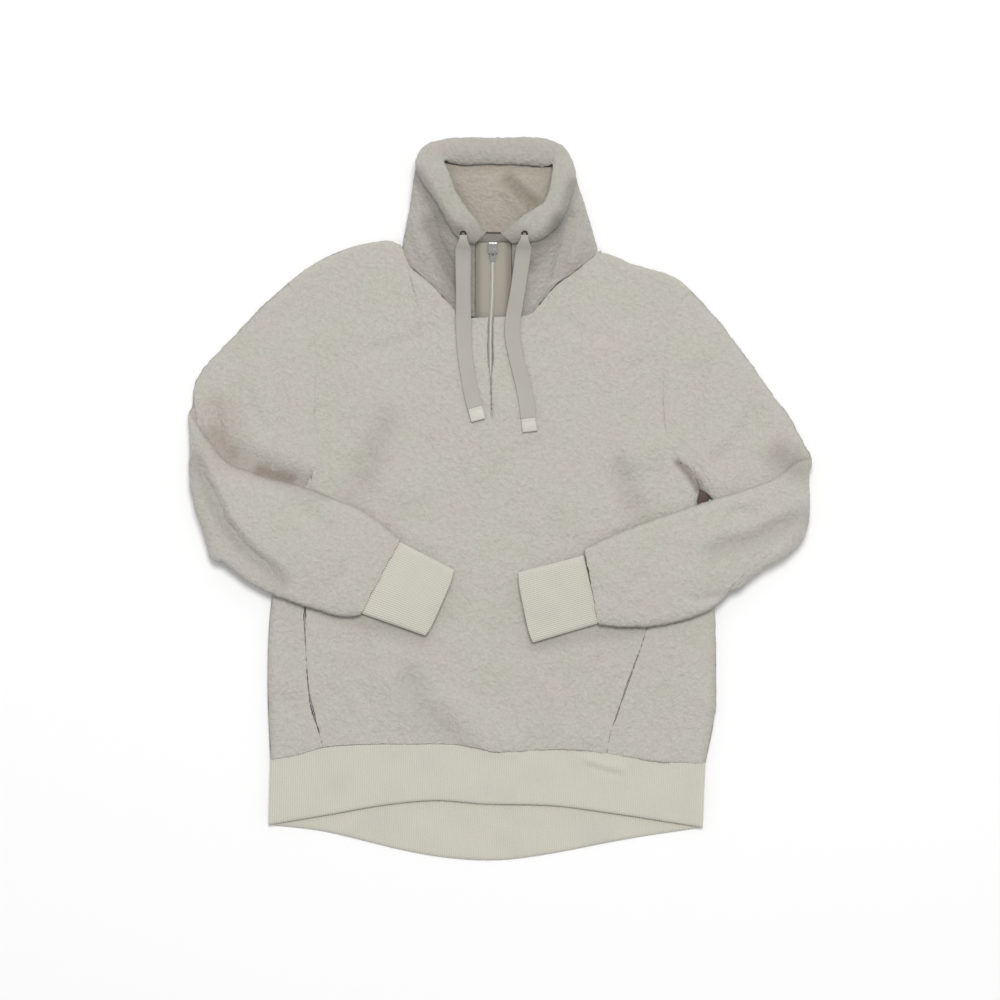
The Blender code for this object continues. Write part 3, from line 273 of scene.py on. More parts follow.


# Painted shade in creases, recesses and under the arms: half width, how dark, how brown, then plan points of
# a line
PAINTED_SHADES = {
    "collar": [
        # The first line makes the whole collar a little darker; the others are painted shade under the roll
        # and by the zip.
        (0.4, 0.15, 0.04, (0, 0.3), (0, 0.34)),
        (0.013, 0.3, 0.06, (-0.096, 0.376), (-0.079, 0.345), (-0.061, 0.317), (-0.049, 0.307)),
        (0.013, 0.26, 0.05, (0.083, 0.362), (0.075, 0.332), (0.062, 0.312), (0.04, 0.293)),
        (0.04, 0.3, 0.05, (-0.03, 0.29), (-0.016, 0.215)),
        (0.036, 0.3, 0.05, (0.014, 0.29), (0.01, 0.215)),
        (0.02, 0.24, 0.08, (-0.078, 0.318), (-0.062, 0.275), (-0.045, 0.228)),
        (0.016, 0.22, 0.05, (0.066, 0.318), (0.062, 0.3), (0.036, 0.27)),
    ],
    "collar_lining": [
        (0.012, 0.14, 0.12, (-0.06, 0.384), (0.05, 0.382)),
        (0.016, 0.26, 0.22, (0.01, 0.366), (0.046, 0.334)),
        (0.014, 0.22, 0.08, (-0.062, 0.37), (-0.03, 0.31)),
    ],
    "sleeve_left": [
        (0.045, 0.08, 0.16, (-0.318, 0.095), (-0.318, 0.064)),
        (0.018, 0.14, 0.16, (-0.33, 0.076), (-0.31, 0.056)),
        (0.012, 0.24, 0.4, (-0.276, 0.034), (-0.24, 0.025)),
        (0.022, 0.18, 0.1, (-0.3, 0.045), (-0.205, 0.012)),
        (0.018, 0.2, 0, (-0.352, 0.046), (-0.33, 0), (-0.31, -0.036), (-0.285, -0.062),
         (-0.25, -0.09)),
    ],
    "sleeve_right": [
        (0.03, 0.22, 0.1, (0.322, 0.052), (0.34, 0.04)),
        (0.022, 0.14, 0.02, (0.35, -0.017), (0.285, -0.047), (0.245, -0.057)),
        (0.012, 0.36, 0.2, (0.234, 0.004), (0.226, 0.018), (0.205, 0.04)),
    ],
    "front": [
        (0.0075, 0.46, 0.22, (0.204, 0.043), (0.216, 0.031), (0.2275, 0.012)),
        (0.03, 0.08, 0.05, (-0.128, 0.09), (-0.167, 0.009)),
        (0.026, 0.1, 0.03, (0.14, 0.037), (0.16, -0.02)),
        (0.03, 0.09, 0.02, (-0.104, -0.204), (-0.087, -0.239), (-0.047, -0.279)),
        (0.02, 0.16, 0.04, (-0.19, -0.125), (-0.15, -0.14), (-0.09, -0.155)),
        (0.018, 0.14, 0.03, (0.04, -0.165), (0.09, -0.155), (0.19, -0.145)),
    ],
    # Painted shade along the seam at the right armpit, as on the front.
    "front_side_right": [(0.0075, 0.46, 0.22, (0.204, 0.043), (0.216, 0.031), (0.2275, 0.012))],
    # Painted shadow where the back reaches under the right arm and fills the armpit's gap.
    "back": [(0.06, 0.74, 1, (0.215, 0.01), (0.235, 0))],
}


# Shapes worked out from the tables

def spline(knots, values):
    """A smooth curve through rows of values at rising knots, read at any array of places."""
    knots, values = np.array(knots, float), np.array(values, float)
    order = np.arange(len(knots))
    low, high = np.maximum(order - 1, 0), np.minimum(order + 1, len(knots) - 1)
    slopes = (values[high] - values[low]) / (knots[high] - knots[low])[:, None]

    def at(places):
        places = np.clip(np.asarray(places, float), knots[0], knots[-1])
        i = np.clip(np.searchsorted(knots, places) - 1, 0, len(knots) - 2)
        span = (knots[i + 1] - knots[i])[..., None]
        s = (places - knots[i])[..., None] / span
        return ((2 * s**3 - 3 * s**2 + 1) * values[i] + (s**3 - 2 * s**2 + s) * slopes[i] * span
                + (3 * s**2 - 2 * s**3) * values[i + 1] + (s**3 - s**2) * slopes[i + 1] * span)
    return at


def along(points):
    """A curve through points, by its length from 0 to 1."""
    points = np.array(points, float)
    steps = np.linalg.norm(np.diff(points, axis=0), axis=1)
    return spline(np.concatenate([[0], np.cumsum(steps)]) / steps.sum(), points)


def height_of(points):
    """The y of an outline that runs from left to right, at any x."""
    curve = spline([p[0] for p in points], [[p[1]] for p in points])
    return lambda x: curve(x)[..., 0]


def across(points, low=None, high=None):
    """The part of such an outline between two x, by its share from 0 to 1."""
    y_at = height_of(points)
    low = points[0][0] if low is None else low
    high = points[-1][0] if high is None else high

    def at(shares):
        x = low + (high - low) * np.asarray(shares, float)
        return np.stack([x, y_at(x)], axis=-1)
    return at


def patch(bottom, top, left, right, us, vs):
    """A grid of plan points bounded by four edges."""
    u, v = us[None, :, None], vs[:, None, None]
    low, high, west, east = bottom(us)[None], top(us)[None], left(vs)[:, None], right(vs)[:, None]
    return ((1 - v) * low + v * high + (1 - u) * west + u * east
            - (1 - u) * (1 - v) * low[:, :1] - u * (1 - v) * low[:, -1:]
            - (1 - u) * v * high[:, :1] - u * v * high[:, -1:])


def smooth(values):
    values = np.clip(values, 0, 1)
    return values * values * (3 - 2 * values)


def spread(length, pitch, start=0.0, end=1.0, near_start=True, near_end=True):
    """Shares from start to end of a stretch of this length, closer together near an edge that is rounded.
    The number of cells suits the coarse face below."""
    close = np.array([0.0, 0.0006, 0.0018, 0.0034, 0.0055, 0.0080]) / length
    first = close if near_start else np.zeros(1)
    last = 1 - (close if near_end else np.zeros(1))[::-1]
    cells = max(int((last[0] - first[-1]) * length / pitch), 2)
    cells += -(cells + len(first) + len(last) - 2) % COARSE
    middle = np.linspace(first[-1], last[0], cells + 1)[1:-1]
    return start + (end - start) * np.concatenate([first, middle, last])


def stations(table, walked, pitch):
    """Where a piece's sections stand, closer near its ends: shares of its length, that length in metres, and
    the places in its table. The function walked gives the steps along rows of the table's curve."""
    curve = spline(np.arange(len(table)), table)
    fine = np.linspace(0, len(table) - 1, 1500)
    length = np.concatenate([[0], np.cumsum(walked(curve(fine)))])
    shares = spread(length[-1], pitch)
    return shares, length[-1], np.interp(shares * length[-1], length, fine), curve


def rounded(distance, edge):
    """The share of a wall that is left at a distance from a rounded edge."""
    radius, lip = edge
    reach = np.minimum(distance / radius, 1.0)
    return lip + (1 - lip) * np.sqrt(1 - (1 - reach) ** 2)


def line_distance(plan, line):
    """Each point's distance from a broken line and the share of the line's length at its nearest point."""
    line = np.array(line, float)
    lengths = np.linalg.norm(np.diff(line, axis=0), axis=1)
    before = np.concatenate([[0], np.cumsum(lengths)])
    best = np.full(plan.shape[:-1], np.inf)
    share = np.zeros(plan.shape[:-1])
    for k, (a, b) in enumerate(zip(line, line[1:])):
        run = b - a
        t = np.clip((plan - a) @ run / (run @ run), 0, 1)
        distance = np.linalg.norm(plan - a - t[..., None] * run, axis=-1)
        nearer = distance < best
        best = np.where(nearer, distance, best)
        share = np.where(nearer, (before[k] + t * lengths[k]) / before[-1], share)
    return best, share


def creases(plan, name):
    """How far a piece's creases lift or sink it at plan points."""
    total = np.zeros(plan.shape[:-1])
    for half, height, *line in CREASES.get(name, []):
        distance, share = line_distance(plan, line)
        reach = np.clip(1 - distance / half, 0, 1)
        fade = smooth(np.minimum(share, 1 - share) / 0.22 + 0.12)
        total += height * reach**2 * (3 - 2 * reach) * fade
    return total * settings()[0].crease


def painted_shades(plan, name):
    """How dark and how brown a piece's painted shade makes its pile at plan points."""
    total = np.zeros(plan.shape[:-1] + (2,))
    for half, dark, brown, *line in PAINTED_SHADES.get(name, []):
        reach = smooth(1 - line_distance(plan, line)[0] / half)
        total += reach[..., None] * [dark, brown]
    return np.minimum(total, 1.0)


def fold_height(plan):
    """How far the front's largest folds lift it."""
    total = np.zeros(plan.shape[:-1])
    for x0, y0, x1, y1, half, height in FRONT_FOLDS:
        distance, _ = line_distance(plan, [(x0, y0), (x1, y1)])
        reach = np.minimum(distance / half, 1)
        total = np.maximum(total, height * (1 - reach**2) ** 2)
    return total


def with_height(plan, height):
    return np.concatenate([plan, np.broadcast_to(height, plan.shape[:-1])[..., None]], axis=-1)


# Objects and meshes

def only(obj):
    """Leaves one object selected and active."""
    bpy.ops.object.select_all(action="DESELECT")
    obj.select_set(True)
    bpy.context.view_layer.objects.active = obj
    return obj


def shell(name, outer, inner, wrap=False, skip=frozenset(), weave=None, rim=None):
    """A closed wall between an outer grid and a coarser inner grid, joined wherever the grids are open."""
    rows, columns = outer.shape[:2]
    inner_rows, inner_columns = inner.shape[:2]
    outer_id = np.arange(rows * columns).reshape(rows, columns)
    inner_id = rows * columns + np.arange(inner_rows * inner_columns).reshape(inner_rows, inner_columns)
    faces, edges = [], {}
    for i in range(inner_rows - 1):
        for j in range(inner_columns if wrap else inner_columns - 1):
            if (i, j) in skip:
                continue
            ring = [(i, j), (i, (j + 1) % inner_columns), (i + 1, (j + 1) % inner_columns), (i + 1, j)]
            faces.append([inner_id[spot] for spot in reversed(ring)])
            for a in range(i * COARSE, (i + 1) * COARSE):
                for b in range(j * COARSE, (j + 1) * COARSE):
                    c = (b + 1) % columns
                    faces.append([outer_id[a, b], outer_id[a, c], outer_id[a + 1, c], outer_id[a + 1, b]])
            for side, (start, end) in enumerate(zip(ring, ring[1:] + ring[:1])):
                if (end, start) in edges:
                    del edges[end, start]
                else:
                    edges[start, end] = side
    ways = ((0, 1), (1, 0), (0, -1), (-1, 0))
    for (start, end), side in edges.items():
        down, right = ways[side]
        path = [outer_id[start[0] * COARSE + down * n, (start[1] * COARSE + right * n) % columns]
                for n in range(COARSE + 1)]
        faces.append([*path[::-1], inner_id[start], inner_id[end]])
    mesh = bpy.data.meshes.new(name)
    points = np.concatenate([outer.reshape(-1, 3), inner.reshape(-1, 3)])
    mesh.from_pydata(points.tolist(), [], [[int(v) for v in face] for face in faces])
    values = np.zeros((len(points), 3), np.float32)
    if weave is not None:
        values[:rows * columns] = weave.reshape(-1, 3)
    mesh.attributes.new("weave", "FLOAT_VECTOR", "POINT").data.foreach_set("vector", values.ravel())
    # Painted shade: darker and browner where the piece's shade table lays it, and darker along its rim where
    # one is given.
    painted_shade = np.zeros((len(points), 3), np.float32)
    painted_shade[:, :2] = painted_shades(points[:, :2], name.rsplit("_", 1)[0])
    if rim is not None:
        painted_shade[:rows * columns, 0] = 1 - (1 - painted_shade[:rows * columns, 0]) * (1 - rim.ravel())
    mesh.attributes.new("shade", "FLOAT_VECTOR", "POINT").data.foreach_set("vector", painted_shade.ravel())
    piece = bpy.data.objects.new(name, mesh)
    bpy.context.collection.objects.link(piece)
    outside = piece.vertex_groups.new(name="outside")
    outside.add(list(range(rows * columns)), 1.0, "REPLACE")
    bm = bmesh.new()
    bm.from_mesh(mesh)
    bmesh.ops.delete(bm, geom=[v for v in bm.verts if not v.link_faces], context="VERTS")
    bmesh.ops.recalc_face_normals(bm, faces=bm.faces)
    bm.to_mesh(mesh)
    bm.free()
    only(piece)
    bpy.ops.object.shade_smooth()
    return piece


def displaced(piece, kind, size, strength, basis="BLENDER_ORIGINAL", depth=1):
    """Moves a piece's outer face in and out by a cloud texture, and applies it."""
    texture = bpy.data.textures.new(piece.name + "_" + kind, "CLOUDS")
    texture.noise_basis = basis
    texture.noise_scale = size
    texture.noise_depth = depth
    change = piece.modifiers.new(kind, "DISPLACE")
    change.texture = texture
    change.texture_coords = "LOCAL"
    change.direction = "NORMAL"
    change.mid_level = 0.5
    change.strength = strength
    change.vertex_group = "outside"
    only(piece)
    bpy.ops.object.modifier_apply(modifier=change.name)


def pile(piece, cloth):
    """Soft unevenness and the pile's curls over a fleece piece."""
    displaced(piece, "swell", 0.065, cloth.unevenness)
    displaced(piece, "lumps", 0.021, cloth.unevenness * 0.60)
    displaced(piece, "curls", cloth.curl_size, cloth.pile_height, "VORONOI_F1")


def finished(piece, material, slot, *nodes):
    """Gives a piece its material, lets it ride with the garment and hides the nodes it stands for."""
    piece.data.materials.clear()
    piece.data.materials.append(material)
    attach(piece, "garment")
    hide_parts(*nodes)
    return piece


# Materials

class Wire:
    """A socket of a material, on which Python's operators add Math nodes."""

    def __init__(self, paint, socket):
        self.paint = paint
        self.socket = socket

    def math(self, operation, *values):
        inputs = dict(enumerate((self, *values)))
        return self.paint.node("ShaderNodeMath", {"operation": operation}, inputs)

    def reflected(self, operation, value):
        return self.paint.node("ShaderNodeMath", {"operation": operation}, {0: value, 1: self})

    def __add__(self, other):
        return self.math("ADD", other)

    def __radd__(self, other):
        return self.reflected("ADD", other)

    def __sub__(self, other):
        return self.math("SUBTRACT", other)

    def __rsub__(self, other):
        return self.reflected("SUBTRACT", other)

    def __mul__(self, other):
        return self.math("MULTIPLY", other)

    def __rmul__(self, other):
        return self.reflected("MULTIPLY", other)

    def __truediv__(self, other):
        return self.math("DIVIDE", other)

    def sin(self):
        return self.math("SINE")

    def between(self, low, high):
        """0 at low and below, 1 at high and above, and smooth between them."""
        settings = {"interpolation_type": "SMOOTHSTEP"}
        return self.paint.node("ShaderNodeMapRange", settings, {"Value": self, 1: low, 2: high})


class Paint:
    """A material being made, with its Principled shader."""

    def __init__(self, name, roughness, metallic=0.0, sheen=0.0):
        self.material = bpy.data.materials.new(name)
        self.material.use_nodes = True
        self.tree = self.material.node_tree
        self.shader = self.tree.nodes["Principled BSDF"]
        self.shader.inputs["Roughness"].default_value = roughness
        self.shader.inputs["Metallic"].default_value = metallic
        self.shader.inputs["Sheen Weight"].default_value = sheen
        self.shader.inputs["Sheen Roughness"].default_value = 0.6

    def node(self, kind, settings=None, inputs=None, output=0):
        """A node of any kind, given its settings first and then what its sockets take."""
        node = self.tree.nodes.new(kind)
        for key, value in (settings or {}).items():
            setattr(node, key, value)
        for key, value in (inputs or {}).items():
            if isinstance(value, Wire):
                self.tree.links.new(value.socket, node.inputs[key])
            else:
                node.inputs[key].default_value = value
        return Wire(self, node.outputs[output])

    def place(self):
        return self.node("ShaderNodeTexCoord", output="Object")

    def weave(self):
        """The place on a piece's own cloth, in metres, and a third value for its ridges."""
        return self.node("ShaderNodeAttribute", {"attribute_name": "weave"}, output="Vector")

    def with_painted_shade(self, colour):
        """A colour made darker and browner where the piece's painted shade says so."""
        painted_shade = self.node("ShaderNodeAttribute", {"attribute_name": "shade"}, output="Vector")
        dark = self.mix(self.part(painted_shade, "X"), (1, 1, 1, 1), (0.0, 0.0, 0.0, 1))
        brown = self.mix(self.part(painted_shade, "Y"), (1, 1, 1, 1), (0.86, 0.62, 0.50, 1))
        product = {"data_type": "RGBA", "blend_type": "MULTIPLY"}
        lower = self.node("ShaderNodeMix", product, {0: 1.0, 6: colour, 7: dark}, output=2)
        return self.node("ShaderNodeMix", product, {0: 1.0, 6: lower, 7: brown}, output=2)

    def part(self, vector, axis):
        return self.node("ShaderNodeSeparateXYZ", inputs={0: vector}, output="XYZ".index(axis))

    def noise(self, place, size, detail=2.0, roughness=0.5, shift=0.0):
        """Noise from 0 to 1 whose features are about this size in metres."""
        if shift:
            place = self.node("ShaderNodeVectorMath", {"operation": "ADD"}, {0: place, 1: (shift,) * 3})
        inputs = {"Vector": place, "Scale": 1 / size, "Detail": detail, "Roughness": roughness}
        return self.node("ShaderNodeTexNoise", inputs=inputs)

    def mix(self, factor, a, b):
        """A mix of two colours."""
        settings = {"data_type": "RGBA"}
        return self.node("ShaderNodeMix", settings, {0: factor, 6: a, 7: b}, output=2)

    def colour(self, value):
        self.tree.links.new(value.socket, self.shader.inputs["Base Color"])

    def roughness(self, value):
        self.tree.links.new(value.socket, self.shader.inputs["Roughness"])

    def bump(self, height, distance, strength=1.0):
        bump = self.node("ShaderNodeBump", inputs={"Height": height, "Distance": distance,
                                                   "Strength": strength}, output="Normal")
        self.tree.links.new(bump.socket, self.shader.inputs["Normal"])


def shade(colour, factor, warm=0.0):
    """A colour made lighter or darker, and warmer or cooler."""
    return (colour[0] * factor * (1 + warm), colour[1] * factor, colour[2] * factor * (1 - warm), 1.0)


def fleece_paint(name, colour, cloth):
    """Curled pile: rounded nubs, painted shade in the gaps between them, a painted highlight on the raised
    tufts, fine fibre, faint warm and cool patches.
    """
    paint = Paint(name, 1.0, sheen=0.25)
    place = paint.place()
    drift = {"Vector": place, "Scale": 260.0, "Detail": 1.0}
    wander = paint.node("ShaderNodeTexNoise", inputs=drift, output=1)
    sway = paint.node("ShaderNodeVectorMath", {"operation": "SCALE"}, {0: wander, "Scale": 0.0045})
    spot = paint.node("ShaderNodeVectorMath", {"operation": "ADD"}, {0: place, 1: sway})
    curls = paint.node("ShaderNodeTexVoronoi", {"feature": "SMOOTH_F1"},
                       {"Vector": spot, "Scale": 1 / (cloth.curl_size * 0.85), "Smoothness": 0.7})
    fibre = paint.noise(place, 0.0011, 3.0, 0.65)
    tufts = paint.noise(place, 0.0060, 2.0, 0.55, 3.0)
    patches = paint.noise(place, 0.045, 3.0, 0.55, 7.0)
    cool = paint.noise(place, 0.060, 2.0, 0.5, 13.0)
    gap = curls.between(0.30, 0.75)
    red, green, blue = colour
    pink = (red * 1.01, green * 0.972, blue * 0.985, 1)
    olive = (red * 0.970, green * 0.990, blue * 0.945, 1)
    base = paint.mix(patches.between(0.40, 0.64), shade(colour, 1.0), pink)
    base = paint.mix(cool.between(0.48, 0.66), base, olive)
    # Painted highlight on the tufts, which the bump also raises.
    base = paint.mix(tufts.between(0.38, 0.72) * 0.60, base, shade(colour, 1.07))
    # Painted shade in the gaps between the curls.
    base = paint.mix(gap * (0.10 + 0.30 * fibre), base, shade(colour, 0.72, 0.03))
    base = paint.mix(fibre.between(0.42, 0.68) * 0.30, base, shade(colour, 0.82))
    # The pile's colour darkened and browned by the piece's painted shade.
    paint.colour(paint.with_painted_shade(base))
    paint.bump((1 - curls) * 0.70 + fibre * 0.65 + tufts * 0.7, 0.0016, 0.95)
    return paint.material


def rib_paint(name, colour):
    """Ribbed knit: painted shade in the furrows between the wales, and small stitches up each of them."""
    paint = Paint(name, 0.95, sheen=0.15)
    weave = paint.weave()
    ridge = paint.part(weave, "Z")
    stitch = (paint.part(weave, "Y") * (2 * math.pi / 0.0021)).sin()
    place = paint.place()
    fibre = paint.noise(place, 0.0010, 3.0, 0.6)
    patches = paint.noise(place, 0.040, 3.0, 0.5, 5.0)
    base = paint.mix(patches.between(0.40, 0.70), shade(colour, 1.0), shade(colour, 0.96, -0.02))
    # Painted shade in the furrows between the ribs.
    base = paint.mix((1 - ridge.between(0.05, 0.60)) * 0.40, base, shade(colour, 0.80, 0.02))
    base = paint.mix(fibre.between(0.45, 0.75) * 0.25, base, shade(colour, 0.90))
    paint.colour(base)
    paint.bump(ridge * 0.8 + stitch * ridge * 0.08 + fibre * 0.3, 0.0006, 0.8)
    return paint.material


def woven_paint(name, colour, thread, contrast, roughness=0.8):
    """A flat weave or braid, whose threads cross on the diagonal."""
    paint = Paint(name, roughness, sheen=0.1)
    weave = paint.weave()
    u, v = paint.part(weave, "X"), paint.part(weave, "Y")
    turn = 2 * math.pi / thread
    cross = ((u + v) * turn).sin() * ((u - v) * turn).sin()
    place = paint.place()
    fibre = paint.noise(place, 0.0008, 3.0, 0.6)
    patches = paint.noise(place, 0.030, 2.0, 0.5, 2.0)
    base = paint.mix(patches.between(0.35, 0.70), shade(colour, 1.0), shade(colour, 0.95, 0.015))
    base = paint.mix(cross.between(-0.5, 0.6) * contrast, base, shade(colour, 1.18))
    base = paint.mix(fibre.between(0.5, 0.8) * 0.35, base, shade(colour, 0.80))
    paint.colour(base)
    paint.bump(cross * 0.5 + fibre * 0.5, 0.0003, 0.8)
    return paint.material


def tape_paint(name, colour):
    """Zip tape: a fine weave with a rib along it, and painted shade along its sides where the fleece edges
    overhang it.
    """
    paint = Paint(name, 0.85, sheen=0.1)
    place = paint.place()
    warp = (paint.part(place, "X") * (2 * math.pi / 0.0011)).sin()
    weft = (paint.part(place, "Y") * (2 * math.pi / 0.0008)).sin()
    fibre = paint.noise(place, 0.0016, 3.0, 0.6)
    base = paint.mix((warp * weft).between(-0.4, 0.6) * 0.35, shade(colour, 0.92), shade(colour, 1.08))
    base = paint.mix(fibre.between(0.45, 0.75) * 0.4, base, shade(colour, 0.82))
    # Painted shade: the tape darkens away from the zip's line, beside the fleece edges.
    off_centre = paint.part(place, "X") + 0.0078
    side = (off_centre * off_centre).between(0.00010, 0.00034)
    base = paint.mix(side * 0.6, base, shade(colour, 0.45, 0.03))
    paint.colour(base)
    paint.bump(warp * 0.4 + weft * 0.4 + fibre * 0.3, 0.0002, 0.6)
    return paint.material


def hard_paint(name, colour, roughness, metallic, wear=0.12):
    """Metal or moulded plastic with faint scuffs."""
    paint = Paint(name, roughness, metallic)
    place = paint.place()
    scuff = paint.noise(place, 0.0022, 4.0, 0.6)
    fine = paint.noise(place, 0.0006, 2.0, 0.5, 4.0)
    paint.colour(paint.mix(scuff.between(0.4, 0.75), shade(colour, 1.0), shade(colour, 1 - wear)))
    paint.roughness(roughness + (fine - 0.5) * 0.25 + scuff.between(0.5, 0.8) * 0.12)
    paint.bump(scuff * 0.5 + fine * 0.5, 0.00006, 0.5)
    return paint.material


# What a user would change

def size_property(name, description, default, low, high):
    return FloatProperty(name=name, description=description, default=default, min=low, max=high,
                         unit="LENGTH", subtype="DISTANCE", precision=4)


def number_property(name, description, default, high):
    return FloatProperty(name=name, description=description, default=default, min=0.0, max=high)


def colour_property(name, description, default):
    return FloatVectorProperty(name=name, description=description, default=default, size=3, min=0.0,
                               max=1.0, subtype="COLOR")


class PulloverCloth(bpy.types.PropertyGroup):
    """Sizes and colours of the pullover's cloth."""
    pitch: size_property("Mesh pitch", "Distance between points over the fleece", 0.0019, 0.0015, 0.006)
    unevenness: size_property("Unevenness", "How far the fleece swells and sinks", 0.0034, 0.0, 0.006)
    pile_height: size_property("Pile height", "Height of the pile's curls", 0.0019, 0.0, 0.004)
    curl_size: size_property("Curl size", "Width of one curl of the pile", 0.0042, 0.002, 0.012)
    crown: size_property("Sleeve crown", "How far a sleeve stands up along its middle", 0.0050, 0.0, 0.008)
    rib_pitch: size_property("Rib pitch", "Distance between two ribs", 0.0026, 0.0015, 0.006)
    rib_height: size_property("Rib height", "Height of a rib above its furrow", 0.0004, 0.0, 0.002)
    crease: number_property("Crease depth", "Scale of the creases' depth", 1.5, 3.0)
    fleece: colour_property("Fleece", "Colour of the outside pile", (0.552, 0.530, 0.478))
    lining: colour_property("Lining", "Colour inside the collar", (0.490, 0.450, 0.375))
    rib: colour_property("Ribbing", "Colour of the cuffs and hem bands", (0.640, 0.622, 0.532))


class PulloverTrim(bpy.types.PropertyGroup):
    """Sizes and colours of the zip and the drawcords."""
    tooth_pitch: size_property("Tooth pitch", "Distance between two turns", 0.0012, 0.0008, 0.003)
    cord: colour_property("Drawcord", "Colour of the drawcords", (0.430, 0.412, 0.370))
    tip: colour_property("Cord tip", "Colour of the moulded cord tips", (0.560, 0.545, 0.475))
    tape: colour_property("Zip tape", "Colour of the zip tape", (0.430, 0.396, 0.335))
    coil: colour_property("Coil", "Colour of the zip's coil", (0.640, 0.620, 0.570))
    metal: colour_property("Metal", "Colour of the slider, its tab and the stop", (0.560, 0.560, 0.560))
    eyelet: colour_property("Eyelet", "Colour of the plated eyelets", (0.075, 0.066, 0.058))


class PulloverStudio(bpy.types.PropertyGroup):
    """Floor, lights and camera."""
    floor: colour_property("Floor", "Colour of the floor", (0.97, 0.97, 0.97))
    key: FloatProperty(name="Key light", description="Power of the large light above the collar",
                       default=215.0, min=0.0, subtype="POWER", unit="POWER")
    fill: number_property("Fill", "Strength of the even light from all round", 0.53, 3.0)
    camera_height: size_property("Camera height", "Height of the camera above the floor", 6.0, 1.0, 20.0)
    field: size_property("Field", "Width of floor that the camera sees", 1.15, 0.2, 4.0)


def settings():
    scene = bpy.context.scene
    return scene.pullover_cloth, scene.pullover_trim, scene.pullover_studio


def paint_named(name, make, *values):
    """A material made the first time that it is asked for."""
    return bpy.data.materials.get(name) or make(name, *values)


def fleece_material(cloth):
    return paint_named("pile_fleece", fleece_paint, tuple(cloth.fleece), cloth)


# Pieces

def edges_of(plan):
    """A plan's left, right, bottom and top edges, each with the line of points next to it."""
    return ((plan[:, :1], plan[:, 1:2]), (plan[:, -1:], plan[:, -2:-1]),
            (plan[:1], plan[1:2]), (plan[-1:], plan[-2:-1]))


def body_panel(name, plan, wall, edges, low=0.0, rise=None, extra=None, skip=frozenset(), weave=None):
    """A flat piece of cloth whose upper face rounds off at its left, right, bottom and top edges."""
    distances = [np.linalg.norm(plan - edge, axis=-1) for edge, _ in edges_of(plan)]
    share = np.minimum.reduce([rounded(far, edge) for far, edge in zip(distances, edges)])
    lift = np.zeros(plan.shape[:2]) if rise is None else rise
    shape = np.zeros(plan.shape[:2]) if extra is None else extra
    outer = with_height(plan, low + lift + wall * share + shape * share)
    inner = with_height(plan[::COARSE, ::COARSE], low + lift[::COARSE, ::COARSE])
    # Painted shade: the pile darkens towards its rounded silhouette edges.
    outline = np.ones(share.shape)
    for far, edge in zip(distances[:3], edges):
        if edge is SILHOUETTE:
            outline = np.minimum(outline, rounded(far, (0.011, 0.0)))
    return shell(name, outer, inner, skip=skip, weave=weave, rim=0.22 * (1 - outline))


def spilled(plan, *reaches):
    """A plan whose left, right, bottom and top edges reach further, so that the pile closes its seams."""
    moved = plan.copy()
    for reach, (edge, inside) in zip(reaches, edges_of(plan)):
        way = edge - inside
        way /= np.maximum(np.linalg.norm(way, axis=-1, keepdims=True), 1e-9)
        distance = np.linalg.norm(plan - edge, axis=-1)
        moved += way * (reach * smooth(1 - distance / 0.007))[..., None]
    return moved


def front_panel(cloth):
    """The front's centre panel, open down the zip."""
    slit_low, slit_high = SLIT_SHARES
    width, height = 0.44, 0.53
    left_us = spread(width * slit_low, cloth.pitch, 0.0, slit_low)
    slit_us = np.linspace(slit_low, slit_high, COARSE + 1)
    right_us = spread(width * (1 - slit_high), cloth.pitch, slit_high, 1.0)
    us = np.concatenate([left_us, slit_us[1:], right_us[1:]])
    low_vs = spread(height * SLIT_FOOT, cloth.pitch, 0.0, SLIT_FOOT, near_end=False)
    high_vs = spread(height * (1 - SLIT_FOOT), cloth.pitch, SLIT_FOOT, 1.0, near_start=False)
    vs = np.concatenate([low_vs, high_vs[1:]])
    bottom = across(HEM_FRONT, POCKET_LEFT[0][0], POCKET_RIGHT[0][0])
    plan = patch(lambda u: bottom(u + 0.27 * u * (1 - u)), across(FRONT_TOP),
                 along(POCKET_LEFT + ARMHOLE_LEFT[4:]), along(POCKET_RIGHT + ARMHOLE_RIGHT[3:]), us, vs)
    first, last, foot = len(left_us) - 1, len(left_us) - 1 + COARSE, len(low_vs) - 1
    y = plan[:, first, 1]
    zip_x = spline([p[1] for p in ZIP_LINE], [[p[0]] for p in ZIP_LINE])(y)[:, 0]
    gap = spline([p[0] for p in ZIP_GAP], [[p[1]] for p in ZIP_GAP])(y)[:, 0]
    near_zip = smooth((y - 0.060) / 0.035)
    for column, side in ((first, -1), (last, 1)):
        shift = (zip_x + side * gap - plan[:, column, 0]) * near_zip
        distance = np.abs(plan[..., 0] - plan[:, column:column + 1, 0])
        here = slice(None, first + 1) if side < 0 else slice(last, None)
        plan[:, here, 0] += (shift[:, None] * smooth(1 - distance / 0.035))[:, here]
    for column in range(first + 1, last):
        share = (column - first) / COARSE
        plan[:, column] = plan[:, first] * (1 - share) + plan[:, last] * share
    neckline = (us > NECKLINE[0]) & (us < NECKLINE[1])
    under_collar = np.where(neckline, 0.0018 + 0.0022 * smooth((us - 0.5) / 0.05), 0.0)
    plan = spilled(plan, 0.0009, 0.0009, 0.0012, under_collar)
    rise = fold_height(plan)
    extra = creases(plan, "front")
    beside = np.minimum(np.abs(plan[..., 0] - plan[:, first:first + 1, 0]),
                        np.abs(plan[..., 0] - plan[:, last:last + 1, 0]))
    open_share = smooth((plan[..., 1] - 0.088) / 0.012)
    extra -= (1 - rounded(beside, (0.0032, 0.45))) * FLEECE * open_share
    top = (np.where(neckline, SEAM[0], SILHOUETTE[0]), np.where(neckline, SEAM[1], SILHOUETTE[1]))
    skip = {(i, first // COARSE) for i in range(foot // COARSE, (len(vs) - 1) // COARSE)}
    return body_panel("front_fleece", plan, FLEECE, (SEAM, SEAM, SEAM, top), FRONT_LOW, rise, extra, skip)


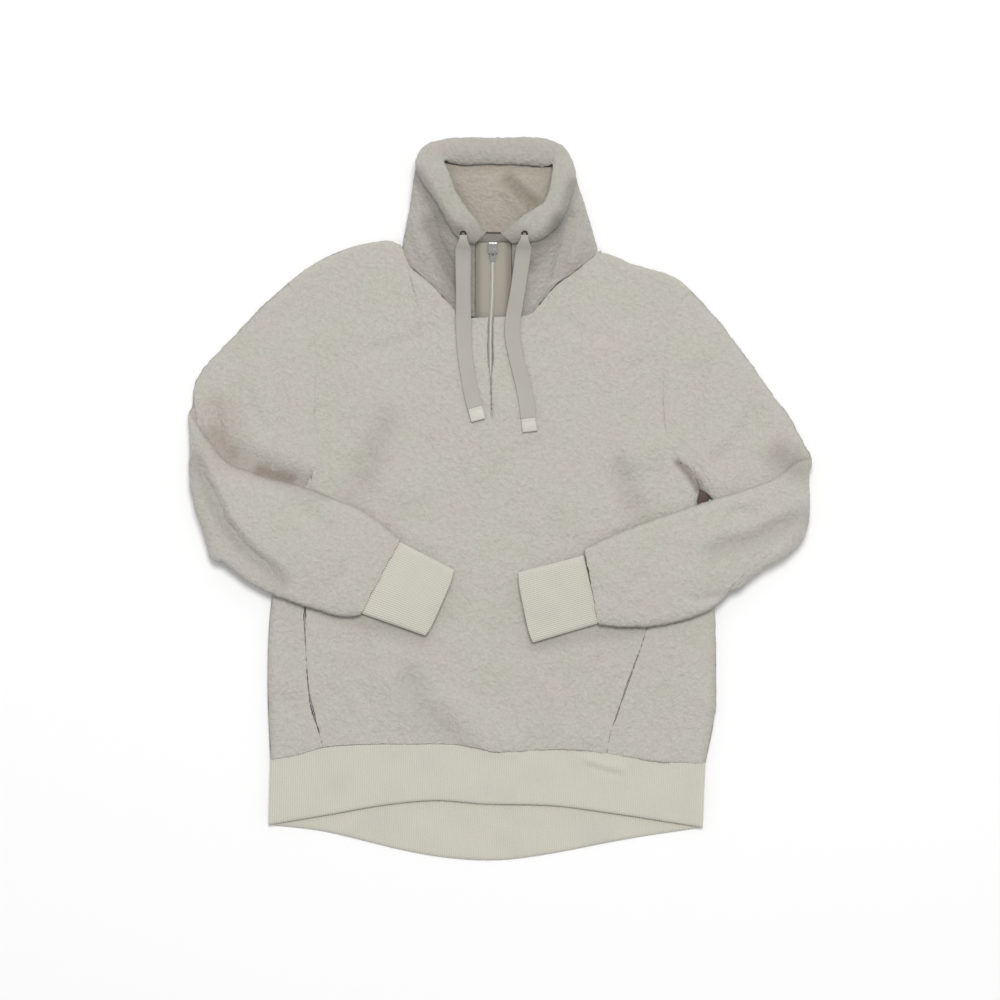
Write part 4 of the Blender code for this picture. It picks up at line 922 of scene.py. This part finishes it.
def side_panel(name, outline, seam, sign, cloth):
    """A front side panel, from the side to the slanted pocket seam."""
    pocket = along(seam)

    def gape(vs):
        spots = pocket(vs)
        low, high = POCKET_OPENING
        y = spots[:, 1]
        inside = smooth((y - low) / 0.012) * smooth((high - y) / 0.012)
        spots[:, 0] += sign * (0.0004 + POCKET_GAPE * inside)
        return spots
    outside = along(outline)
    walls = (outside, gape) if sign < 0 else (gape, outside)
    ends = np.array([0.0, 1.0])
    foot, head = [np.stack([wall(ends)[n] for wall in walls]) for n in (0, 1)]
    y_at = height_of(HEM_FRONT)

    def lower(us):
        x = foot[0, 0] + (foot[1, 0] - foot[0, 0]) * us
        return np.stack([x, y_at(x)], axis=-1)

    def upper(us):
        return head[0] + (head[1] - head[0]) * us[:, None]
    us = spread(PATCH_WIDTHS[sign], cloth.pitch)
    vs = spread(0.32, cloth.pitch)
    plan = patch(lower, upper, *walls, us, vs)
    plan = spilled(plan, 0.0, 0.0, 0.0012, 0.0025)
    rims = (SILHOUETTE, SEAM) if sign < 0 else (SEAM, SILHOUETTE)
    return body_panel(name, plan, FLEECE, (*rims, SEAM, SEAM), FRONT_LOW, None, creases(plan, "front"))


def back_panel():
    """The back, flat where it lies."""
    plan = patch(across(HEM_BACK), across(BACK_TOP), along(SIDE_LEFT + ARMHOLE_LEFT[1:]),
                 along(SIDE_RIGHT + ARMHOLE_RIGHT[1:]), spread(0.48, 0.006), spread(0.60, 0.006))
    # The back reaches up to 16 mm further under the right arm, where its painted shadow fills the gap
    # between body and sleeve.
    under_arm = smooth(1 - np.abs(plan[:, -1, 1] - 0.010) / 0.034)[:, None]
    plan[..., 0] += 0.016 * under_arm * smooth(1 - (plan[:, -1:, 0] - plan[..., 0]) / 0.050)
    return body_panel("back_fleece", plan, FLEECE, (SILHOUETTE, SILHOUETTE, SEAM, SILHOUETTE))


def band(name, top_points, end_points, low, cloth):
    """A hem band with its ribs across it."""
    inner, end = across(top_points), across(end_points)

    def top(us):
        return inner(us) - np.array([0.0, 0.0004])

    def wall(u):
        corner = np.array([u])
        return lambda vs: end(corner) + (top(corner) - end(corner)) * vs[:, None]
    ribs = int(round(BAND_LENGTH / cloth.rib_pitch / 2)) * 2
    us = np.linspace(0.0, 1.0, ribs * 6 + 1)
    vs = spread(BAND_DEPTH, 0.0030)
    plan = patch(end, top, wall(0.0), wall(1.0), us, vs)
    ridge = np.broadcast_to(0.5 + 0.5 * np.cos(2 * math.pi * ribs * us), plan.shape[:2])
    weave = np.stack(np.broadcast_arrays(us * BAND_LENGTH, vs[:, None] * BAND_DEPTH, ridge), axis=-1)
    wave = 0.0006 * np.sin(plan[..., 0] * 61) * np.sin(plan[..., 1] * 80 + 1.0)
    extra = creases(plan, name) + (ridge - 1) * cloth.rib_height + wave
    return body_panel(name + "_rib", plan, RIB, (SILHOUETTE, SILHOUETTE, (0.004, 0.35), SEAM), low, None,
                      extra, weave=weave)


def tube_sections(edge_a, edge_b, turn, bow, half, crown_up, crown_down, shares, lens, reach):
    """Sections of a flattened tube, one row each. Shares run over the upper side and then back below."""
    run = edge_b - edge_a
    width = np.linalg.norm(run, axis=1)
    run = run / width[:, None]
    outward = np.stack([run[:, 1], -run[:, 0]], axis=1)
    outward *= np.where(outward[:, 0] * edge_a[:, 0] < 0, -1, 1)[:, None]
    flat = np.zeros((len(run), 1))
    out3 = np.concatenate([outward, flat], axis=1)
    up = np.stack([-out3[:, 0] * np.sin(turn), -out3[:, 1] * np.sin(turn), np.cos(turn)], axis=1)
    share, side = shares
    inset = lens / width
    across_share = inset[:, None] + (1 - 2 * inset[:, None]) * share[None]
    distance = np.minimum(across_share, 1 - across_share) * width[:, None]
    edge = np.sqrt(np.clip(1 - (1 - np.minimum((distance - lens[:, None]) / reach, 1)) ** 2, 0, 1))
    puff = np.sin(math.pi * across_share) ** 0.8
    upper = half[:, None] * edge + crown_up[:, None] * puff * edge
    lower = -(half[:, None] * edge + crown_down[:, None] * puff * edge)
    height = np.where(side[None] > 0, upper, lower)
    spot = edge_a[:, None] + run[:, None] * (across_share * width[:, None])[..., None]
    points = np.concatenate([spot, np.zeros(spot.shape[:2] + (1,))], axis=-1)
    points += out3[:, None] * bow(across_share)[..., None]
    return points, up, height


def sleeve(name, rows, hole, cloth):
    """A sleeve as one flattened tube, sewn round the armhole and turned over at the elbow."""
    table = np.array(rows, float)

    def walked(dense):
        middle = (dense[:, 0:2] + dense[:, 2:4]) / 2
        turns = np.radians(np.diff(np.clip(dense[:, 4], 0, 180)))
        return np.maximum(np.linalg.norm(np.diff(middle, axis=0), axis=1) + turns * 0.011, 1e-6)
    places, length, index, curve = stations(table, walked, cloth.pitch * 1.05)
    data = curve(index)
    edge_a, edge_b, turn = data[:, 0:2], data[:, 2:4], np.radians(np.clip(data[:, 4], 0, 180))
    count = int(0.20 / cloth.pitch / 2 / COARSE) * COARSE * 2
    half_loop = 0.5 - 0.5 * np.cos(np.linspace(0, math.pi, count // 2 + 1))
    half_loop = 0.35 * half_loop + 0.65 * np.linspace(0, 1, count // 2 + 1)
    shares = np.concatenate([half_loop, half_loop[-2:0:-1]])
    side = np.concatenate([np.ones(count // 2 + 1), -np.ones(count // 2 - 1)])

    first_run = table[0, 2:4] - table[0, 0:2]
    outward = np.array([first_run[1], -first_run[0]]) / np.linalg.norm(first_run)
    outward *= 1 if outward[0] * table[0, 0] > 0 else -1
    samples = along(hole)(np.linspace(1, 0, 121))
    chord = samples[-1] - samples[0]
    hole_share = (samples - samples[0]) @ chord / (chord @ chord)
    hole_bow = (samples - samples[0]) @ outward
    fade = np.clip(1 - index / 3.5, 0, 1) ** 1.5

    start = places * length
    end = length - start
    ripple = 0.0004 * smooth(1 - end / 0.014)

    def bow(share):
        """How far a section stands out: round the armhole, at the elbow and in the cuff's gathers."""
        bend = np.interp(share, hole_share, hole_bow) - 0.0018
        gathers = np.sin(share * 19 + 1.3) + np.sin(share * 43 + 2.0)
        return fade[:, None] * bend + data[:, 5:6] * np.sin(math.pi * share) ** 2 + ripple[:, None] * gathers

    seam = rounded(start, (0.009, 0.80))
    narrow = np.clip(1 - end / 0.030, 0, 1)
    gather = rounded(end, (0.010, 0.80))
    half = (SLEEVE_HALF + (0.0046 - SLEEVE_HALF) * narrow) * seam * gather
    up_crown = cloth.crown * smooth(start / 0.05) * (1 - smooth(turn / 1.2)) * 0.8
    down_crown = cloth.crown * smooth((turn - 1.0) / 1.8) * (0.35 + 0.65 * smooth(end / 0.05))

    def grid(shares, half, up_crown, down_crown, lens, reach):
        points, up, height = tube_sections(edge_a, edge_b, turn, bow, half, up_crown, down_crown,
                                           shares, lens, reach)
        centre = -up * FOLD_RADIUS
        centre[:, 2] += FOLD_HEIGHT
        return points + centre[:, None] + up[:, None] * height[..., None], up, height
    none = np.zeros_like(half)
    outer, up, height = grid((shares, side), half, up_crown, down_crown, none, 0.0105)
    seen = np.where(np.degrees(turn) < 90, 1, -1)[:, None] * np.sign(side)[None]
    upper_arm = creases(outer[..., :2], name + "_upper") * (np.degrees(turn) < 60)[:, None]
    forearm = creases(outer[..., :2], name + "_fore") * smooth((np.degrees(turn)[:, None] - 120) / 40)
    outer[..., 2] += np.where(seen > 0, upper_arm + forearm, 0) * smooth(np.abs(height) / 0.004)
    hollow = (shares[::COARSE], side[::COARSE])
    inner, _, _ = grid(hollow, none + SLIT / 2, up_crown * 0.9, down_crown * 0.9, none + 0.0046, 0.012)
    # Painted shade: the pile darkens towards the flattened sleeve's rounded edges.
    rim = 0.22 * (1 - smooth(np.abs(height) / (half[:, None] * 0.95)))
    return shell(name + "_fleece", outer, inner[::COARSE], wrap=True, rim=rim)


def cuff(name, ends, cloth):
    """A flattened rib tube, a little open at its end."""
    start, end = np.array(ends[0]), np.array(ends[1])
    ribs = int(round(CUFF_AROUND / cloth.rib_pitch / 4)) * 4
    turns = np.arange(ribs * 6) / (ribs * 6)
    share = np.where(turns < 0.5, turns * 2, 2 - turns * 2)
    side = np.where(turns <= 0.5, 1, -1)
    ridge = 0.5 + 0.5 * np.cos(2 * math.pi * ribs * turns)
    along_cuff = spread(CUFF_DEPTH, 0.0026) * 1.05 - 0.05
    rows = start + (end - start) * along_cuff[:, None]
    near = rounded(along_cuff + 0.05, (0.14, 0.80))
    mouth = rounded(1 - along_cuff, (0.06, 0.80))
    swell = 1 + 0.25 * np.sin(math.pi * np.clip(along_cuff, 0, 1)) ** 0.7
    none = np.zeros(len(rows))
    rest = FOLD_HEIGHT + FOLD_RADIUS - SLEEVE_HALF + CUFF_HALF * 1.12

    def outline(share):
        """A mouth that bulges a little in its middle, and so has soft corners."""
        middle = 1 - np.abs(2 * share - 1) ** 5
        return -0.0030 * middle * smooth((along_cuff[:, None] - 0.2) / 0.8)

    def grid(shares, half, crown, lens, reach):
        points, up, height = tube_sections(rows[:, 0:2], rows[:, 2:4], none, outline, half, crown, none,
                                           shares, lens, reach)
        return points + np.array([0, 0, rest]) + up[:, None] * height[..., None], height
    outer, height = grid((share, side), CUFF_HALF * near * mouth * swell, none + 0.0016 * swell, none, 0.006)
    outer[..., 2] += np.sign(height) * (ridge[None] - 1) * cloth.rib_height * smooth(np.abs(height) / 0.002)
    gap = SLIT / 2 + 0.0014 * along_cuff
    inner, _ = grid((share[::COARSE], side[::COARSE]), gap, none + 0.0010, none + 0.0028, 0.006)
    depth = along_cuff[:, None] * CUFF_DEPTH
    weave = np.stack(np.broadcast_arrays(turns * CUFF_AROUND, depth, ridge), axis=-1)
    return shell(name + "_rib", outer, inner[::COARSE], wrap=True, weave=weave)


def collar_columns(pitch):
    """The collar's columns, finer than its table: base, rim centre, rim reach, start angle, the stand's
    joint with the rim, and the way inward."""
    def walked(dense):
        middle = (dense[:, 3:5] + dense[:, 5:7] + 2 * dense[:, 0:2]) / 4
        return np.linalg.norm(np.diff(middle, axis=0), axis=1)
    _, _, index, curve = stations(COLLAR, walked, pitch)
    data = curve(index)
    lift = ROLL_HALF + data[:, 7] * (ROLL_TOP - ROLL_HALF) / COLLAR[0][7]
    centre = with_height((data[:, 3:5] + data[:, 5:7]) / 2, lift)
    reach = with_height((data[:, 5:7] - data[:, 3:5]) / 2, np.zeros(len(data)))
    start = np.radians(data[:, 8])
    joint = rolled(centre, reach, start, 0.0)
    ring = np.gradient(joint, axis=0)
    inward = np.cross(ring, joint - data[:, 0:3])
    inward /= np.linalg.norm(inward, axis=1)[:, None]
    return data[:, 0:3], centre, reach, start, joint, inward


def rolled(centre, reach, angle, inset):
    """Points round the rolled rim, at a depth below its outer face."""
    width = np.linalg.norm(reach, axis=1)[:, None]
    way = reach / width
    rise = (ROLL_HALF - inset) * np.sin(angle)
    return centre + way * (width - inset) * np.cos(angle)[:, None] + rise[:, None] * np.array([0, 0, 1.0])


def collar_piece(cloth):
    """The outer collar: up from the neck seam, round its rolled rim and down to the rim's inner edge."""
    base, centre, reach, start, joint, inward = collar_columns(cloth.pitch)
    outer, inner = [], []
    for share in spread(STAND_HEIGHT, cloth.pitch, near_end=False):
        spot = base + (joint - base) * share
        seam = 1 - rounded(share * STAND_HEIGHT, SEAM)
        outer.append(spot + inward * (COLLAR_WALL * seam))
        outer[-1][:, 2] -= 0.0022 * smooth(1 - share * 9)
        outer[-1][:, 2] += creases(outer[-1][:, :2], "collar") * smooth(share * 6) * smooth((1 - share) * 7)
        inner.append(spot + inward * COLLAR_WALL)
    around = 28
    for step in range(1, around + 1):
        angle = start + (math.radians(ROLL_END) - start) * step / around
        outer.append(rolled(centre, reach, angle, 0.0))
        inner.append(rolled(centre, reach, angle, COLLAR_WALL))
    outer, inner = np.stack(outer, axis=1), np.stack(inner, axis=1)
    outer[..., 1] += 0.0030 * smooth((outer[..., 1] - 0.345) / 0.05)
    return shell("collar_fleece", outer, inner[::COARSE, ::COARSE])


def lining_piece(cloth):
    """The collar's inner layer, up to the rolled rim."""
    base, centre, reach, _, joint, inward = collar_columns(cloth.pitch * 1.15)
    climb = joint - base
    length = np.linalg.norm(climb, axis=1)
    edge = np.sum((centre + reach - base) * climb, axis=1) / length**2
    top = np.minimum(edge - 0.0010 / length, 0.95)
    first = 0.14 + 0.40 * (1 - np.abs(inward[:, 2])) ** 0.5
    near, far = [], []
    for step in spread(LINING_HEIGHT, cloth.pitch * 1.15):
        spot = base + climb * (first + (top - first) * step)[:, None] + inward * (COLLAR_WALL + 0.0008)
        near.append(spot + inward * LINING_WALL)
        near[-1][:, 2] += creases(near[-1][:, :2], "collar_lining")
        far.append(spot)
    near, far = np.stack(near, axis=1), np.stack(far, axis=1)
    return shell("collar_lining_pile", near, far[::COARSE, ::COARSE])


def flat_cord(name, route, width, half):
    """A flat braid that follows a route with its width level and its edges a little thicker."""
    way = np.gradient(route, axis=0)
    way /= np.linalg.norm(way, axis=1)[:, None]
    side = np.cross(way, [0, 0, 1.0])
    side /= np.linalg.norm(side, axis=1)[:, None]
    up = np.cross(side, way)
    quarter = [(0.5, 0.92), (0.78, 0.98), (0.86, 1.05), (0.94, 0.95), (0.985, 0.55), (1.0, 0.0)]
    profile = [(-s, h) for s, h in quarter[::-1]] + [(0.0, 0.90)] + quarter
    loop = profile + [(s, -h) for s, h in profile[-2:0:-1]]
    rings = np.stack([route + side * (s * width / 2)[:, None] + up * (h * half)[:, None]
                      for s, h in loop], axis=1)
    count = len(loop)
    ids = np.arange(len(route) * count).reshape(len(route), count)
    faces = [[ids[i, j], ids[i, (j + 1) % count], ids[i + 1, (j + 1) % count], ids[i + 1, j]]
             for i in range(len(route) - 1) for j in range(count)]
    faces += [ids[0, ::-1], ids[-1]]
    mesh = bpy.data.meshes.new(name)
    mesh.from_pydata(rings.reshape(-1, 3).tolist(), [], [[int(v) for v in face] for face in faces])
    travelled = np.concatenate([[0], np.cumsum(np.linalg.norm(np.diff(route, axis=0), axis=1))])
    values = np.zeros((len(route), count, 3), np.float32)
    values[..., 0] = np.array([s for s, _ in loop])[None] * width[:, None] / 2
    values[..., 1] = travelled[:, None]
    mesh.attributes.new("weave", "FLOAT_VECTOR", "POINT").data.foreach_set("vector", values.ravel())
    piece = bpy.data.objects.new(name, mesh)
    bpy.context.collection.objects.link(piece)
    only(piece)
    bpy.ops.object.mode_set(mode="EDIT")
    bpy.ops.mesh.select_all(action="SELECT")
    bpy.ops.mesh.normals_make_consistent(inside=False)
    bpy.ops.object.mode_set(mode="OBJECT")
    bpy.ops.object.shade_smooth_by_angle(angle=math.radians(50))
    return piece


def block(size, bevel, segments):
    """A block of this size about the origin, with its edges rounded."""
    bpy.ops.object.select_all(action="DESELECT")
    bpy.ops.mesh.primitive_cube_add(size=1.0)
    piece = bpy.context.active_object
    piece.scale = size
    bpy.ops.object.transform_apply(scale=True)
    bpy.ops.object.mode_set(mode="EDIT")
    bpy.ops.mesh.select_all(action="SELECT")
    bpy.ops.mesh.bevel(offset=bevel, segments=segments)
    bpy.ops.object.mode_set(mode="OBJECT")
    return piece


def cord_tip(name, start, way):
    """A moulded end in line with its cord, pressed to a waist near the braid."""
    tip = block((TIP_WIDTH, TIP_LENGTH, 2 * TIP_HALF), 0.0008, 3)
    tip.name = name
    bpy.ops.object.mode_set(mode="EDIT")
    waist = (TIP_WAIST - 0.5) * TIP_LENGTH
    for shift in (-0.0006, 0.0, 0.0006):
        bpy.ops.mesh.select_all(action="SELECT")
        bpy.ops.mesh.bisect(plane_co=(0, waist + shift, 0), plane_no=(0, 1, 0))
    bpy.ops.mesh.select_mode(type="VERT")
    bpy.ops.mesh.select_all(action="DESELECT")
    bpy.ops.object.mode_set(mode="OBJECT")
    for vertex in tip.data.vertices:
        vertex.select = abs(vertex.co.y - waist) < 0.0001
    bpy.ops.object.mode_set(mode="EDIT")
    bpy.ops.transform.resize(value=(0.96, 1.0, 0.88), center_override=(0, waist, 0))
    bpy.ops.object.mode_set(mode="OBJECT")
    tip.rotation_euler = Vector(way).to_track_quat("Y", "Z").to_euler()
    tip.location = start + way * TIP_LENGTH / 2
    bpy.ops.object.transform_apply(location=True, rotation=True)
    bpy.ops.object.shade_smooth_by_angle(angle=math.radians(50))
    return tip


# Operators

class StudioOperator(bpy.types.Operator):
    """Adds the pale floor, the soft lights and the camera straight above."""
    bl_idname = "pullover.studio"
    bl_label = "Studio"

    def execute(self, context):
        studio = settings()[2]
        bpy.ops.object.select_all(action="DESELECT")
        bpy.ops.mesh.primitive_plane_add(size=8.0, location=(0, 0, -0.0006))
        floor = context.active_object
        floor.name = "studio_floor"
        bpy.ops.object.transform_apply(location=True)
        paint = Paint("floor_paper", 0.9)
        grain = paint.noise(paint.place(), 0.02, 2.0)
        tone = tuple(studio.floor)
        paint.colour(paint.mix(grain, shade(tone, 0.995), shade(tone, 1.0)))
        floor.data.materials.append(paint.material)
        self.lamp("key", (0.35, 2.2, 5.6), (0.0, 0.0, 0.0), 2.4, studio.key)
        world = bpy.data.worlds.new("studio_air")
        world.use_nodes = True
        background = world.node_tree.nodes["Background"]
        background.inputs["Color"].default_value = (1.0, 1.0, 1.0, 1.0)
        background.inputs["Strength"].default_value = studio.fill
        context.scene.world = world
        context.scene.view_settings.view_transform = "Standard"
        camera_data = bpy.data.cameras.new("overhead")
        camera_data.lens = camera_data.sensor_width * studio.camera_height / studio.field
        camera = bpy.data.objects.new("overhead", camera_data)
        camera.location = (0.0, 0.0, studio.camera_height)
        context.collection.objects.link(camera)
        context.scene.camera = camera
        return {"FINISHED"}

    def lamp(self, name, place, target, size, power):
        data = bpy.data.lights.new(name, "AREA")
        data.shape = "DISK"
        data.size = size
        data.energy = power
        lamp = bpy.data.objects.new(name, data)
        lamp.location = place
        lamp.rotation_euler = (Vector(target) - Vector(place)).to_track_quat("-Z", "Y").to_euler()
        bpy.context.collection.objects.link(lamp)


class DrawcordOperator(bpy.types.Operator):
    """Lays the two flat drawcords with their moulded tips."""
    bl_idname = "pullover.drawcords"
    bl_label = "Drawcords"

    def execute(self, context):
        trim = settings()[1]
        braid = paint_named("flat_braid", woven_paint, tuple(trim.cord), 0.0021, 0.5)
        moulded = paint_named("moulded_tip", hard_paint, tuple(trim.tip), 0.5, 0.0, 0.06)
        for side, table in (("left", CORD_LEFT), ("right", CORD_RIGHT)):
            route = along(table)(np.linspace(0, 1, 150))
            length = float(np.linalg.norm(np.diff(route, axis=0), axis=1).sum())
            travelled = np.linspace(0, length, 150)
            width = CORD_WIDTH * (0.45 + 0.55 * smooth(travelled / 0.020))
            width *= 1 + 0.02 * np.sin(travelled * 70)
            half = CORD_HALF * (1.35 - 0.35 * smooth(travelled / 0.020))
            cord = flat_cord("drawcord_" + side + "_braid", route, width, half)
            way = route[-1] - route[-2]
            way /= np.linalg.norm(way)
            tip = cord_tip("cord_tip_" + side + "_moulded", route[-1] + way * TIP_GAP, way)
            finished(cord, braid, "drawcord", "drawcord_" + side)
            finished(tip, moulded, "cord_tip", "cord_tip_" + side)
        return {"FINISHED"}


class BodyOperator(bpy.types.Operator):
    """Builds the back and the front's three panels."""
    bl_idname = "pullover.body"
    bl_label = "Body panels"

    def execute(self, context):
        cloth = settings()[0]
        fleece = fleece_material(cloth)
        front = front_panel(cloth)
        left = side_panel("front_side_left_fleece", SIDE_LEFT, POCKET_LEFT, -1, cloth)
        right = side_panel("front_side_right_fleece", SIDE_RIGHT, POCKET_RIGHT, 1, cloth)
        back = back_panel()
        for piece in (front, left, right):
            pile(piece, cloth)
        for piece, node, flat, area in (
                (front, "front", (0.47, 0.58), 0.212), (left, "front_side_left", (0.065, 0.34), 0.0111),
                (right, "front_side_right", (0.125, 0.34), 0.0213), (back, "back", (0.53, 0.64), 0.277)):
            finished(piece, fleece, "fleece", node)
        return {"FINISHED"}


class SleeveOperator(bpy.types.Operator):
    """Builds the sleeves, each folded over at its elbow."""
    bl_idname = "pullover.sleeves"
    bl_label = "Sleeves"

    def execute(self, context):
        cloth = settings()[0]
        for name, rows, hole in (("sleeve_left", SLEEVE_LEFT, ARMHOLE_LEFT),
                                 ("sleeve_right", SLEEVE_RIGHT, ARMHOLE_RIGHT)):
            piece = sleeve(name, rows, hole, cloth)
            pile(piece, cloth)
            finished(piece, fleece_material(cloth), "fleece", name)
        return {"FINISHED"}


class CollarOperator(bpy.types.Operator):
    """Builds the funnel collar with its rolled rim, and its inner layer."""
    bl_idname = "pullover.collar"
    bl_label = "Collar"

    def execute(self, context):
        cloth = settings()[0]
        outer = collar_piece(cloth)
        pile(outer, cloth)
        finished(outer, fleece_material(cloth), "fleece", "collar")
        inner = lining_piece(cloth)
        displaced(inner, "swell", 0.045, cloth.unevenness * 0.6)
        displaced(inner, "curls", cloth.curl_size * 0.8, cloth.pile_height * 0.6, "VORONOI_F1")
        lining = paint_named("collar_lining_pile", fleece_paint, tuple(cloth.lining), cloth)
        finished(inner, lining, "collar_lining", "collar_lining")
        return {"FINISHED"}


class RibbingOperator(bpy.types.Operator):
    """Builds the ribbed hem bands and cuffs."""
    bl_idname = "pullover.ribbing"
    bl_label = "Ribbing"

    def execute(self, context):
        cloth = settings()[0]
        knit = paint_named("rib_knit", rib_paint, tuple(cloth.rib))
        for name, top, end, low in (("hem_band_front", HEM_FRONT, BAND_FRONT_END, FRONT_LOW),
                                    ("hem_band_back", HEM_BACK, BAND_BACK_END, 0.0)):
            piece = finished(band(name, top, end, low, cloth), knit, "rib", name)
        for name, ends in (("cuff_left", CUFF_LEFT), ("cuff_right", CUFF_RIGHT)):
            piece = finished(cuff(name, ends, cloth), knit, "rib", name)
        return {"FINISHED"}


class ZipOperator(bpy.types.Operator):
    """Builds the zip's coil and finishes its tapes, slider, pull tab and stop."""
    bl_idname = "pullover.zip"
    bl_label = "Zip and eyelets"

    def execute(self, context):
        trim = settings()[1]
        metal = paint_named("satin_metal", hard_paint, tuple(trim.metal), 0.32, 1.0)
        dark = paint_named("dark_plating", hard_paint, tuple(trim.eyelet), 0.35, 1.0)
        tape = paint_named("woven_tape", tape_paint, tuple(trim.tape))
        nylon = paint_named("nylon_coil", hard_paint, tuple(trim.coil), 0.35, 0.0, 0.05)
        for node, material in (("zip_tape_left", tape), ("zip_tape_right", tape), ("zip_slider", metal),
                               ("pull_tab", metal), ("zip_stop", metal), ("eyelet_left", dark),
                               ("eyelet_right", dark)):
            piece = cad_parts[node]
            piece.data.materials.clear()
            piece.data.materials.append(material)
        coil = self.coil(trim.tooth_pitch)
        finished(coil, nylon, "zip_coil", "zip_coil")
        return {"FINISHED"}

    def coil(self, pitch):
        """Turns of the coil, one small rounded block modelled once and copied to either side in turn."""
        tooth = block((0.0032, pitch * 0.62, 0.0015), 0.00025, 1)
        line = spline([p[1] for p in ZIP_LINE], [(p[0], p[2]) for p in ZIP_LINE])
        ys = np.arange(0.1100, 0.2815, pitch / 2)
        copies = []
        for number, (y, (x, z)) in enumerate(zip(ys, line(ys))):
            copy = tooth.copy()
            copy.data = tooth.data.copy()
            bpy.context.collection.objects.link(copy)
            copy.location = (x + (0.0009 if number % 2 else -0.0009), y, z + 0.0012)
            copies.append(copy)
        bpy.data.objects.remove(tooth)
        bpy.ops.object.select_all(action="DESELECT")
        for copy in copies:
            copy.select_set(True)
        bpy.context.view_layer.objects.active = copies[0]
        bpy.ops.object.join()
        coil = bpy.context.active_object
        coil.name = "zip_coil_turns"
        bpy.ops.object.transform_apply(location=True, rotation=True, scale=True)
        bpy.ops.object.shade_smooth_by_angle(angle=math.radians(40))
        return coil


class PulloverPanel(bpy.types.Panel):
    """Lists the pullover's settings and its steps."""
    bl_idname = "VIEW3D_PT_pullover"
    bl_label = "Fleece pullover"
    bl_space_type = "VIEW_3D"
    bl_region_type = "UI"
    bl_category = "Pullover"

    def draw(self, context):
        for group in settings():
            box = self.layout.box()
            for name in group.__annotations__:
                box.prop(group, name)
        for step in STEPS:
            self.layout.operator(step.bl_idname)


STEPS = (StudioOperator, DrawcordOperator, BodyOperator, SleeveOperator, CollarOperator, RibbingOperator,
         ZipOperator)
GROUPS = {"pullover_cloth": PulloverCloth, "pullover_trim": PulloverTrim, "pullover_studio": PulloverStudio}


def register():
    for item in (*GROUPS.values(), *STEPS, PulloverPanel):
        bpy.utils.register_class(item)
    for name, group in GROUPS.items():
        setattr(bpy.types.Scene, name, PointerProperty(type=group))


def unregister():
    for name in GROUPS:
        delattr(bpy.types.Scene, name)
    for item in (PulloverPanel, *STEPS[::-1], *GROUPS.values()):
        bpy.utils.unregister_class(item)


def main():
    register()
    for step in STEPS:
        group, name = step.bl_idname.split(".")
        getattr(getattr(bpy.ops, group), name)()


if __name__ == "__main__":
    main()
